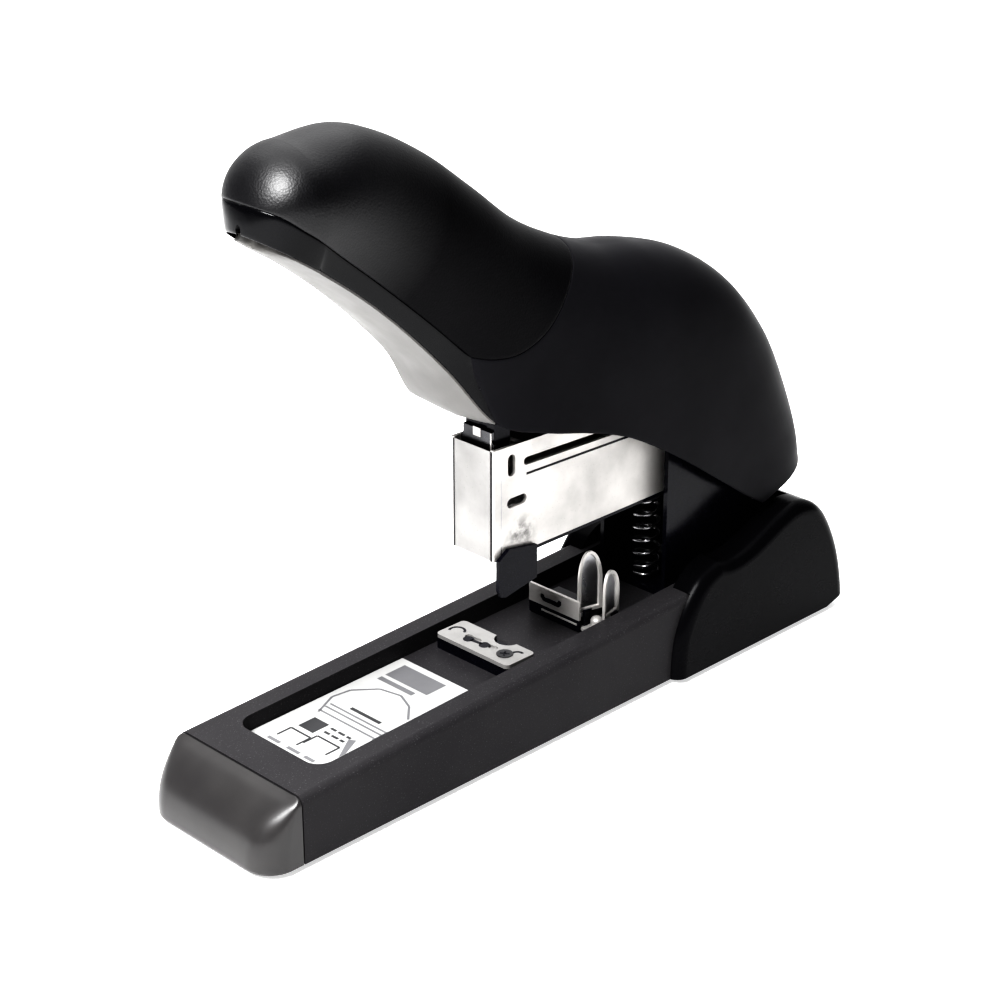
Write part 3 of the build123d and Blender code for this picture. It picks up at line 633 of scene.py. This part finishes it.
def thicken(bm):
    """Adds the skin's inner side and closes it along every open edge."""
    bm.normal_update()
    normals = outward_normals(bm)
    outer = list(bm.faces)
    open_edges = [tuple(e.verts) for e in bm.edges if e.is_boundary]
    inner = {v: bm.verts.new(v.co - normals[v] * WALL) for v in list(bm.verts)}
    for f in outer:
        bm.faces.new([inner[v] for v in reversed(f.verts)])
    for a, b in open_edges:
        bm.faces.new((a, b, inner[b], inner[a]))


def slope_at(line, x):
    """How much a line rises over the millimetre round x."""
    return line(x + 0.5) - line(x - 0.5)


def from_seam(p):
    """Distance to the seam line, measured square to it in the side view."""
    x = p.x - SEAM
    return abs(over_seam(p)) / math.hypot(1, slope_at(seam_height, x))


FRONT_TOP, FAR_AWAY = 117.6, 99.0
RIM_LINE = polyline([(ring[0], ring[1]) for ring in ROWS])


def from_front(p):
    """Distance to the hood's front edge, which ends at the seam."""
    z = p.z - FOOT
    if z > FRONT_TOP:
        return FAR_AWAY
    return abs(behind_front(p)) / math.hypot(1, slope_at(hood_front, z))


def from_rim(p):
    """Distance to the open rim below."""
    x = p.x - SEAM
    return abs(p.z - FOOT - RIM_LINE(x)) / math.hypot(1, slope_at(RIM_LINE, x))


def moulding(name, slot, halves, replaced, edges, keep=None):
    """One moulding of the handle, from grids of rings: cut, rolled at its edges, given a wall."""
    bm = bmesh.new()
    for rings, sides in halves:
        rows = [[ring_point(ring, s) for s in line] for ring, line in zip(rings, sides)]
        grid_faces(bm, rows)
    bmesh.ops.remove_doubles(bm, verts=bm.verts, dist=0.004)
    if keep:
        clip(bm, keep)
    bm.normal_update()
    if sum(f.normal.y * f.calc_center_median().y for f in bm.faces) < 0:
        bmesh.ops.reverse_faces(bm, faces=bm.faces)
    rolled(bm, edges)
    thicken(bm)
    return piece(name, bm, slot, "handle", replaced, sharp=60, turned=True)


BAND_END, HOOD_START = 84, 60


def side_strips(sides, count):
    """Strips from each rim up to the seam, near side first."""
    return [[strip(hand, hand * side, count)[::hand] for side in sides] for hand in (-1, 1)]


def make_handle():
    """The grip over the seam, the polished band under its front and the hood behind."""
    upper = [strip(side, -side, 44) for side in SEAM_SIDES[: CROWN_END + 1]]
    crown = [(ROWS[: CROWN_END + 1], upper)]
    moulding("grip_skin", "grip_rubber", crown, ["grip_shell"], [from_seam])
    edges = [from_seam, from_front, from_rim]
    end = min(i for i, ring in enumerate(ROWS) if ring[0] > BAND_END)
    band = [(ROWS[:end], strips) for strips in side_strips(SEAM_SIDES[:end], 10)]
    moulding("trim_skin", "trim_plastic", band, ["trim_band"], edges, before_front)
    start = max(i for i, ring in enumerate(ROWS) if ring[0] < HOOD_START)
    lower = [(ROWS[start:], strips) for strips in side_strips(SEAM_SIDES[start:], 30)]
    moulding("hood_skin", "hood_plastic", lower, ["hood_shell"], edges, behind_front)


make_handle()


# ------------------------------------------------------------------ underside panel
PANEL_FRONT, PANEL_REAR = 12.0, 79.5
PANEL_INSET, PANEL_BELOW, PANEL_BULGE, PANEL_ABOVE = 0.5, 0.35, 0.9, 1.6
PANEL_TAPER_FRONT, PANEL_TAPER_REAR = 0.05, 0.03


def make_panel():
    """The light inlay that closes the grip from below, bulging a little past the rims."""
    bm = bmesh.new()
    rim_half = polyline([(ring[0], ring[4]) for ring in ROWS])
    rows = []
    for x in np.linspace(PANEL_FRONT, PANEL_REAR, 60):
        share = (x - PANEL_FRONT) / (PANEL_REAR - PANEL_FRONT)
        taper = math.sqrt(min(1.0, share / PANEL_TAPER_FRONT, (1 - share) / PANEL_TAPER_REAR))
        half = max(0.3, (rim_half(x) - PANEL_INSET) * taper)
        rise = slope_at(RIM_LINE, x)
        slope = rise / math.hypot(1, rise)
        loop = []
        for hand in (1, -1):
            for y in hand * np.linspace(-half, half, 17):
                below = PANEL_BELOW + PANEL_BULGE * (1 - (y / half) ** 2)
                drop = below if hand > 0 else -PANEL_ABOVE
                loop.append(row(x + drop * slope, y, RIM_LINE(x) - drop * math.sqrt(1 - slope**2)))
        rows.append(loop)
    made = grid_faces(bm, rows, closed=True)
    bm.faces.new(made[0])
    bm.faces.new(list(reversed(made[-1])))
    piece("panel_inlay", bm, "panel_plastic", "handle", ["underside_panel"], sharp=50)


make_panel()


# ------------------------------------------------------------------ front cap
CAP_LINE = [
    (-12.6, 0), (-13.1, 1.4), (-12.8, 5.5), (-11.4, 9.8), (-8.5, 13.8), (-4.4, 17.2), (-0.6, 19.4),
]
CAP_BACK, CAP_CORNER, CAP_ROUND, CAP_ROUND_FROM = -0.4, 8.5, 2.4, 17.0
CAP_CORNER_DEPTH = 0.68


def make_cap():
    """The nose of the base: stacked outlines that pull back as they rise."""
    bm = bmesh.new()
    rows = []
    for x, z in catmull(CAP_LINE, 6):
        over = max(0.0, z - CAP_ROUND_FROM)
        half = BASE_HALF - (CAP_ROUND - math.sqrt(max(0.0, CAP_ROUND**2 - over**2)))
        along = CAP_CORNER_DEPTH * (CAP_BACK - x)
        loop = [row(CAP_BACK, -half, z)]
        for turn in np.linspace(0, math.pi / 2, 13):
            corner = (x + along * (1 - math.sin(turn)), -half + CAP_CORNER * (1 - math.cos(turn)))
            loop.append(row(*corner, z))
        face = np.linspace(-half + CAP_CORNER, half - CAP_CORNER, 11)
        front = [row(x, y, z) for y in face[1:-1]]
        mirrored = [Vector((p.x, -p.y, p.z)) for p in reversed(loop)]
        rows.append([*loop, *front, *mirrored])
    made = grid_faces(bm, rows)
    bm.faces.new(list(reversed(made[0])))
    bmesh.ops.contextual_create(bm, geom=[v for line in made for v in (line[0], line[-1])])
    piece("cap_moulding", bm, "cap_plastic", "base", ["front_cap"], sharp=50)


make_cap()


# ------------------------------------------------------------------ springs
def coil(name, body, node, start, end, radius, wire, turns):
    """A coil of round wire between two points, with one closed turn at each end."""
    start, end = row(*start), row(*end)
    length = (end - start).length
    axis = (end - start).normalized()
    side_x = axis.orthogonal().normalized()
    side_y = axis.cross(side_x)
    closed = 1 / turns
    bm = bmesh.new()
    rings = []
    for t in np.linspace(0, 1, turns * 26 + 1):
        angle = 2 * math.pi * turns * t
        if t < closed:
            rise = wire * t / closed
        elif t > 1 - closed:
            rise = length - wire * (1 - t) / closed
        else:
            rise = wire + (length - 2 * wire) * (t - closed) / (1 - 2 * closed)
        out = side_x * math.cos(angle) + side_y * math.sin(angle)
        centre = start + axis * rise + out * radius
        rings.append([centre + (out * math.cos(a) + axis * math.sin(a)) * wire / 2 for a in circle(8)])
    made = grid_faces(bm, rings, closed=True)
    bm.faces.new(list(reversed(made[0])))
    bm.faces.new(made[-1])
    return piece(name, bm, "spring_steel", body, [node], sharp=60)


LIFT_STATION, ROD_HEIGHT = 157, 58.5


def make_springs():
    """The three springs, as coils; the lift and pusher coils each get a mesh of their own."""
    low, high = node_corners("lift_spring")
    ends = (LIFT_STATION, 0, low[2] + 0.7), (LIFT_STATION, 0, high[2] - 0.7)
    lift = coil("lift_coil", "base", "lift_spring", *ends, 3.7, 1.3, 8)
    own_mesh(lift)
    low, high = node_corners("pusher_spring")
    ends = (low[0], 0, ROD_HEIGHT), (high[0], 0, ROD_HEIGHT)
    push = coil("pusher_coil", "drawer", "pusher_spring", *ends, 2.55, 0.7, 14)
    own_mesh(push)
    ends = (PIVOT_STATION, -5.3, PIVOT_HEIGHT), (PIVOT_STATION, 5.3, PIVOT_HEIGHT)
    coil("press_coil", "magazine", "press_return_spring", *ends, 4.6, 1.7, 6)


make_springs()


# ------------------------------------------------------------------ staples
STAPLE_PITCH, STAPLE_WIRE, STAPLE_CORNER = 0.95, 0.75, 0.6


def make_staples():
    """A stick of glued staples: each wire is its own rounded hoop."""
    bm = bmesh.new()
    low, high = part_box("staple_strip")
    first, last = low.x / MM, high.x / MM
    bottom, top = low.z / MM, high.z / MM
    outer = high.y / MM
    count = int((last - first) / STAPLE_PITCH)
    step = (last - first) / count
    for i in range(count):
        x0 = first + i * step
        x1 = x0 + step * 0.94
        path = [(-outer, bottom), (-outer, top - STAPLE_CORNER), (-outer + STAPLE_CORNER, top)]
        path += [(-y, z) for y, z in reversed(path)]
        inner = [(y * (1 - STAPLE_WIRE / outer), min(z, top - STAPLE_WIRE)) for y, z in path]
        outline = [*path, *reversed(inner)]
        front = [bm.verts.new((x0, y, z)) for y, z in outline]
        back = [bm.verts.new((x1, y, z)) for y, z in outline]
        n = len(outline)
        for k in range(n):
            j = (k + 1) % n
            bm.faces.new((front[k], front[j], back[j], back[k]))
        for k in range(n // 2 - 1):
            for end, flip in ((front, False), (back, True)):
                quad = [end[k], end[k + 1], end[n - 2 - k], end[n - 1 - k]]
                bm.faces.new(quad if flip else list(reversed(quad)))
    piece("staple_stick", bm, "staple_steel", "drawer", ["staple_strip"], sharp=30)


make_staples()


# ------------------------------------------------------------------ small pressed details
def block(bm, low, high):
    """A box between two (station, y, height) corners."""
    xs, ys, zs = zip(low, high)
    v = [bm.verts.new(row(x, y, z)) for x in xs for y in ys for z in zs]
    for face in ((0, 1, 3, 2), (4, 6, 7, 5), (0, 4, 5, 1), (2, 3, 7, 6), (0, 2, 6, 4), (1, 5, 7, 3)):
        bm.faces.new([v[i] for i in face])


def across(bm, outline, y_low, y_high):
    """A side outline, given as (station, height), pushed across from y_low to y_high."""
    prism(bm, [row(x, y_low, z) for x, z in outline], [row(x, y_high, z) for x, z in outline])


def plate(bm, outline, x0, x1):
    """An outline, given as (y, height), pushed rearwards from station x0 to x1."""
    prism(bm, [row(x0, y, z) for y, z in outline], [row(x1, y, z) for y, z in outline])


def inlay(bm, outline, z):
    """A thin sheet laid just over a surface, standing for a groove or recess and carrying its painted
    shade: outline is (station, y).
    """
    prism(bm, [row(x, y, z - 0.1) for x, y in outline], [row(x, y, z + 0.05) for x, y in outline])


def box_piece(name, low, high, slot, body, bevel, replaced=()):
    """A plain block, as a finished piece."""
    bm = bmesh.new()
    block(bm, low, high)
    return piece(name, bm, slot, body, replaced, bevel)


def make_blade():
    """The driver blade, notched at its top where the yoke's window is, and its bright marks."""
    (x0, _, bottom), (x1, half, top) = node_corners("driver_blade")
    right = [(half, bottom), (half, top - 3.4), (5.5, top - 2.4), (5.5, top)]
    right += [(1.4, top), (1.4, top - 2.2)]
    left = [(-y, z) for y, z in reversed(right)]
    bm = bmesh.new()
    plate(bm, [left[-1], *right, *left[:-1]], x0, x1)
    piece("blade_plate", bm, "dark_steel", "driver", ["driver_blade"], bevel=0.12)
    box_piece("yoke_rivet", (86.1, -1.5, 86.3), (86.4, 1.5, 89.0), "nickel", "driver", 0.1)
    box_piece("blade_edge", (86.15, -5.6, 82), (86.4, -5.1, 88.6), "nickel", "driver", 0.1)


make_blade()

# each of the magazine's side marks, as its lowest and highest corner on the far side
SIDE_MARKS = (
    ("nose_seam", (84.4, 7.15, 51.6), (84.9, 7.55, 84.2), "black_steel", 0),
    ("fold_line", (87.1, 8.3, 52.6), (87.35, 8.43, 83.6), "spring_steel", 0),
    # a black strip along each lower edge of the magazine
    ("lower_edge_strip", (88, 6.2, 50.3), (155, 8.34, 51.49), "black_steel", 0.2),
)
BEAD = [(97, 74.1), (150, 72.8), (150, 73.5), (97, 74.8)]
BEAD_IN, BEAD_OUT = 8.3, 8.44


def make_magazine_details():
    """The nose's seams and facing, the folded flanges, the long bead and a black strip along each lower
    edge.
    """
    for hand, side in ((-1, "near"), (1, "far")):
        for name, low, high, slot, bevel in SIDE_MARKS:
            y0, y1 = sorted((hand * low[1], hand * high[1]))
            corners = (low[0], y0, low[2]), (high[0], y1, high[2])
            box_piece(f"{name}_{side}", *corners, slot, "magazine", bevel)
        bm = bmesh.new()
        across(bm, BEAD, *sorted((hand * BEAD_IN, hand * BEAD_OUT)))
        piece(f"bead_{side}", bm, "black_steel", "magazine")
    corners = (84.36, -6.9, 51.7), (84.6, 6.9, 84.3)
    # the nose facing gets the darker nickel copy, painted shade
    facing = box_piece("nose_facing", *corners, "shaded_nickel", "drawer", 0.1)


make_magazine_details()


def disc(bm, x, y, z, radius, rise, dome):
    """A round head standing on a deck at height z, its top domed by dome."""
    rings = [(radius, 0), (radius, rise)]
    rings += [(radius * math.cos(a), rise + dome * math.sin(a)) for a in np.linspace(0.2, 1.45, 6)]
    rows = [
        [row(x + r * math.cos(turn), y + r * math.sin(turn), z + up) for turn in circle(28)]
        for r, up in rings
    ]
    made = grid_faces(bm, rows, closed=True)
    bm.faces.new(made[-1])
    bm.faces.new(list(reversed(made[0])))


def arc(x, y, radius, turns):
    """Points at the given angles round (x, y)."""
    return [(x + radius * math.cos(t), y + radius * math.sin(t)) for t in turns]


def arc_band(x, y, radius, width, start, end):
    """The outline of a bent slot: an outer arc and an inner arc back."""
    turns = np.radians(np.linspace(start, end, 14))
    return [*arc(x, y, radius + width / 2, turns), *reversed(arc(x, y, radius - width / 2, turns))]


CROSS_LONG, CROSS_WIDE = 1.35, 0.28


def make_anvil_details():
    """The clinching grooves, as black sheets of painted shade on the bright plate, and the screw's head
    with its cross recess, also black painted shade.
    """
    top = node_corners("anvil_plate")[1][2]
    bm = bmesh.new()
    # black sheets for the painted shade in the clinching grooves
    for x, y in ((87.4, 5.0), (87.9, -0.9)):
        inlay(bm, arc(x, y, 1.6, circle(24)), top)
    inlay(bm, [(86.9, 4.0), (88.0, 4.0), (88.5, 0.2), (87.4, 0.2)], top)
    inlay(bm, arc_band(88.6, 11.0, 2.3, 0.75, -70, 120), top)
    inlay(bm, arc_band(90.4, -11.6, 1.7, 0.8, -20, 110), top)
    piece("clinch_groove_painted_shade", bm, "black_steel", "base")
    low, high = node_corners("anvil_screw")
    x, y, head = (low[0] + high[0]) / 2, (low[1] + high[1]) / 2, high[2]
    bm = bmesh.new()
    disc(bm, x, y, top - 0.6, 2.1, head - top + 0.35, 0.25)
    piece("anvil_screw_head", bm, "dark_steel", "base")
    # a black cross for the painted shade in the screw's recess
    bm = bmesh.new()
    for turn in (math.radians(35), math.radians(125)):
        long = Vector((math.cos(turn), math.sin(turn))) * CROSS_LONG
        wide = Vector((-math.sin(turn), math.cos(turn))) * CROSS_WIDE
        ends = (-long - wide, long - wide, long + wide, wide - long)
        inlay(bm, [(x + end.x, y + end.y) for end in ends], head + 0.02)
    piece("screw_cross_painted_shade", bm, "black_steel", "base")


make_anvil_details()

# the stop's window as (y, height below the strip's top)
WINDOW = [
    (5.2, 2.2), (5.2, 3.4), (4.2, 4.3), (-2.0, 4.3), (-3.0, 3.4), (-3.0, 2.2), (-1.9, 2.2), (-1.4, 2.9),
    (3.6, 2.9), (4.1, 2.2),
]
STRIP_HIGH = 6.0


def make_stop_details():
    """The stop's bright strip with its window, the black block and rail below, and the stud."""
    (x0, _, base), (x1, half, top) = node_corners("stop_plate")
    split = top - STRIP_HIGH
    box_piece("stop_strip", (x0, -half, split), (x1, half, top), "nickel", "stop", 0.2, ["stop_plate"])
    box_piece("stop_block", (x0 + 0.25, -half, base), (x1, half, split), "black_steel", "stop", 0.2)
    box_piece("stop_rail", (x0, -half + 1, base + 1.9), (x0 + 0.4, 5, base + 2.5), "nickel", "stop", 0.1)
    bm = bmesh.new()
    plate(bm, [(y, top - below) for y, below in WINDOW], x0 - 0.04, x0 + 0.3)
    piece("stop_window", bm, "black_steel", "stop")
    low, high = node_corners("stop_stud")
    bm = bmesh.new()
    disc(bm, (low[0] + high[0]) / 2, (low[1] + high[1]) / 2, low[2], 1.9, 1.8, 1.5)
    piece("stud_cap", bm, "nickel", "stop", ["stop_stud"])


make_stop_details()


def arch(width, height, shrink):
    """A pointed arch as (along, up), pulled in by shrink on every side."""
    half = width / 2 - shrink
    spring = height * 0.5
    rise = height - shrink - spring
    right = [(half, shrink)]
    for k in range(15):
        turn = math.pi / 2 * k / 14
        right.append((half * math.cos(turn) ** 0.9, spring + rise * math.sin(turn)))
    return [*right, *[(-a, u) for a, u in reversed(right[:-1])]]


def make_ear(name, node, body, toe, width, height, lift):
    """A pressed ear: a bright raised edge round a darker dished face, on a black stem.

    toe turns it about the vertical, in degrees; lift is how far its arch stands off the stop.
    """
    low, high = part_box(node)
    middle = (low + high) / 2
    turn = math.radians(toe)
    along = Vector((math.cos(turn), math.sin(turn), 0))
    out = Vector((math.sin(turn), -math.cos(turn), 0))
    foot = Vector((middle.x / MM, middle.y / MM, low.z / MM + lift))

    def place(point, depth):
        bow = 0.5 * (1 - (2 * point[0] / width) ** 2)
        return foot + along * point[0] + Vector((0, 0, point[1])) + out * (depth - bow)

    dish = arch(width, height, 1.25)
    bm = bmesh.new()
    loops = [
        [place(p, depth) for p in arch(width, height, shrink)]
        for shrink, depth in ((0.0, -0.45), (0.0, 0.4), (0.95, 0.45), (1.25, -0.1))
    ]
    made = grid_faces(bm, loops, closed=True)
    bm.faces.new(list(reversed(made[0])))
    piece(f"{name}_edge", bm, "nickel", body, [node], sharp=50)
    bm = bmesh.new()
    prism(bm, [place(p, -0.05) for p in dish], [place(p, -0.3) for p in dish])
    piece(f"{name}_face", bm, "spring_steel", body)
    x, y = foot.x - SEAM, foot.y
    base = low.z / MM - FOOT
    corners = (x - 2.6, y - 0.5, base), (x + 2.6, y + 0.5, base + lift + 0.6)
    box_piece(f"{name}_stem", *corners, "black_steel", body, 0.2)


make_ear("ear_far", "stop_ear_far", "ear_far", -15, 8.0, 18.6, 4.2)
make_ear("ear_near", "stop_ear_near", "ear_near", 12, 8.2, 14.0, 3.6)


# ------------------------------------------------------------------ label artwork
PRINT_LIFT, THIN_LINE, STAPLE_LINE, PRINT_LINE = 0.24, 0.7, 0.65, 1.2


def make_label():
    """Generic pictograms on the tray label: no lettering, only shapes."""

    def flat(bm, outline):
        verts = [bm.verts.new(row(x, y, tray_floor(x) + PRINT_LIFT)) for x, y in outline]
        bm.faces.new(verts)

    def bar(bm, x0, y0, x1, y1, width):
        dx, dy = x1 - x0, y1 - y0
        size = math.hypot(dx, dy)
        nx, ny = -dy / size * width / 2, dx / size * width / 2
        flat(bm, [(x0 - nx, y0 - ny), (x1 - nx, y1 - ny), (x1 + nx, y1 + ny), (x0 + nx, y0 + ny)])

    grey, dark = bmesh.new(), bmesh.new()
    flat(grey, [(62.5, -4), (70, -4), (70, 13), (62.5, 13)])
    flat(grey, [(59.4, -1), (61.2, -1), (61.2, 13), (59.4, 13)])
    stapler = [(36, 11), (44, 14.5), (50, 13.5), (56, 8), (57.5, 1), (55, -5), (50, -10)]
    for (xa, ya), (xb, yb) in zip(stapler, stapler[1:]):
        bar(grey, xa, ya, xb, yb, THIN_LINE)
    for x in (37, 39.4, 41.2):
        bar(grey, x, 12, x, -11, THIN_LINE)
    bar(grey, 42, -11, 36, -11, THIN_LINE)
    bar(dark, 43.5, 6, 43.5, -6, PRINT_LINE)
    flat(dark, [(27.5, 3.5), (33.5, 3.5), (33.5, 9.5), (27.5, 9.5)])
    for x in (32.6, 30.2):
        for y, length in ((1.8, 2.2), (-1.2, 2.6), (-4.6, 1.6)):
            bar(dark, x, y, x, y - length, 0.9)
    for x, y, half in ((20.5, 6, 4.0), (22.5, -3, 4.5)):
        bar(dark, x, y + half, x + 5, y + half, STAPLE_LINE)
        bar(dark, x + 5, y + half, x + 5, y - half, STAPLE_LINE)
        bar(dark, x + 5, y - half, x, y - half, STAPLE_LINE)
    for x, y, length in ((18.2, 11, 5), (18.2, 3, 5), (18.2, -4, 4), (16, 8, 3), (16, -9, 3)):
        bar(grey, x, y, x, y - length, PRINT_LINE)
    flat(grey, [(24, -11), (26.6, -11), (33, -8), (32, -6)])
    piece("label_print_grey", grey, "ink_grey", "base")
    piece("label_print_dark", dark, "ink_dark", "base")


make_label()

# ------------------------------------------------------------------ carried-over nodes
# the anvil plate gets the darker nickel copy, painted shade
OTHER_LOOKS = {"anvil_plate": "shaded_nickel", "anvil_screw": "dark_steel"}
slot_of = {s["node"]: s["material_slot"] for s in frame["record"]["subparts"]}
for name, obj in nodes.items():
    if not obj.hide_render:
        dress(obj, OTHER_LOOKS.get(name, slot_of[name]), slot_of[name])
        soften(obj, 0.25)

# ------------------------------------------------------------------ camera, light and floor
SKY_TOWARD = (0.62, 0.68, 0.38)


def make_camera():
    """The camera, set slightly above and well back, and how its picture is toned."""
    scene = bpy.context.scene
    camera = bpy.data.objects.new("camera", bpy.data.cameras.new("camera"))
    camera.data.sensor_width = 36.0
    camera.data.lens = 83.47
    camera.data.clip_start = 0.01
    camera.location = spot(-320.4, -418.1, 326.4)
    camera.rotation_euler = (math.radians(90 - 23.96), 0, math.radians(-44.82))
    scene.collection.objects.link(camera)
    scene.camera = camera
    scene.view_settings.view_transform = "Standard"
    scene.view_settings.look = "Very High Contrast"


def make_sky():
    """White light that falls off smoothly away from the far right, where it is brightest."""
    world = bpy.data.worlds.new("studio")
    bpy.context.scene.world = world
    world.use_nodes = True
    nodes_of, links = world.node_tree.nodes, world.node_tree.links
    toward = nodes_of.new("ShaderNodeVectorMath")
    toward.operation = "DOT_PRODUCT"
    toward.inputs[1].default_value = SKY_TOWARD
    fall = nodes_of.new("ShaderNodeMapRange")
    for socket, value in (("From Min", 0.42), ("From Max", 1.0), ("To Min", 0.05), ("To Max", 1.0)):
        fall.inputs[socket].default_value = value
    sky = nodes_of["Background"]
    sky.inputs["Color"].default_value = (1, 1, 1, 1)
    links.new(nodes_of.new("ShaderNodeTexCoord").outputs["Generated"], toward.inputs[0])
    links.new(toward.outputs["Value"], fall.inputs["Value"])
    links.new(fall.outputs["Result"], sky.inputs["Strength"])


def softbox(name, position, target, side, power):
    """A square area light, side metres wide, that faces target."""
    light = bpy.data.lights.new(name, "AREA")
    light.shape = "RECTANGLE"
    light.size = light.size_y = side
    light.energy = power
    obj = bpy.data.objects.new(name, light)
    obj.location = position
    toward = Vector(target) - Vector(position)
    obj.rotation_euler = toward.to_track_quat("-Z", "Y").to_euler()
    bpy.context.scene.collection.objects.link(obj)


def make_floor(half):
    """A pale sheet that glows a little, so that it stays white from every side."""
    mesh = bpy.data.meshes.new("floor")
    mesh.from_pydata(
        [(-half, -half, 0), (half, -half, 0), (half, half, 0), (-half, half, 0)], [], [(0, 1, 2, 3)]
    )
    floor = bpy.data.objects.new("floor", mesh)
    bpy.context.scene.collection.objects.link(floor)
    paper = plastic("floor_paper", (0.78, 0.78, 0.78), (0.8, 0.8, 0.8), 0.7, 200.0)
    bsdf = next(n for n in paper.node_tree.nodes if n.type == "BSDF_PRINCIPLED")
    bsdf.inputs["Emission Color"].default_value = (1, 1, 1, 1)
    bsdf.inputs["Emission Strength"].default_value = 0.4
    mesh.materials.append(paper)


make_camera()
make_sky()
softbox("overhead", (0.3, 0.4, 1.3), (0.2, 0.2, 0.0), 1.9, 16)
softbox("key", (-0.64, -0.1, 0.78), (-0.05, 0, 0.1), 0.42, 18)
make_floor(6)
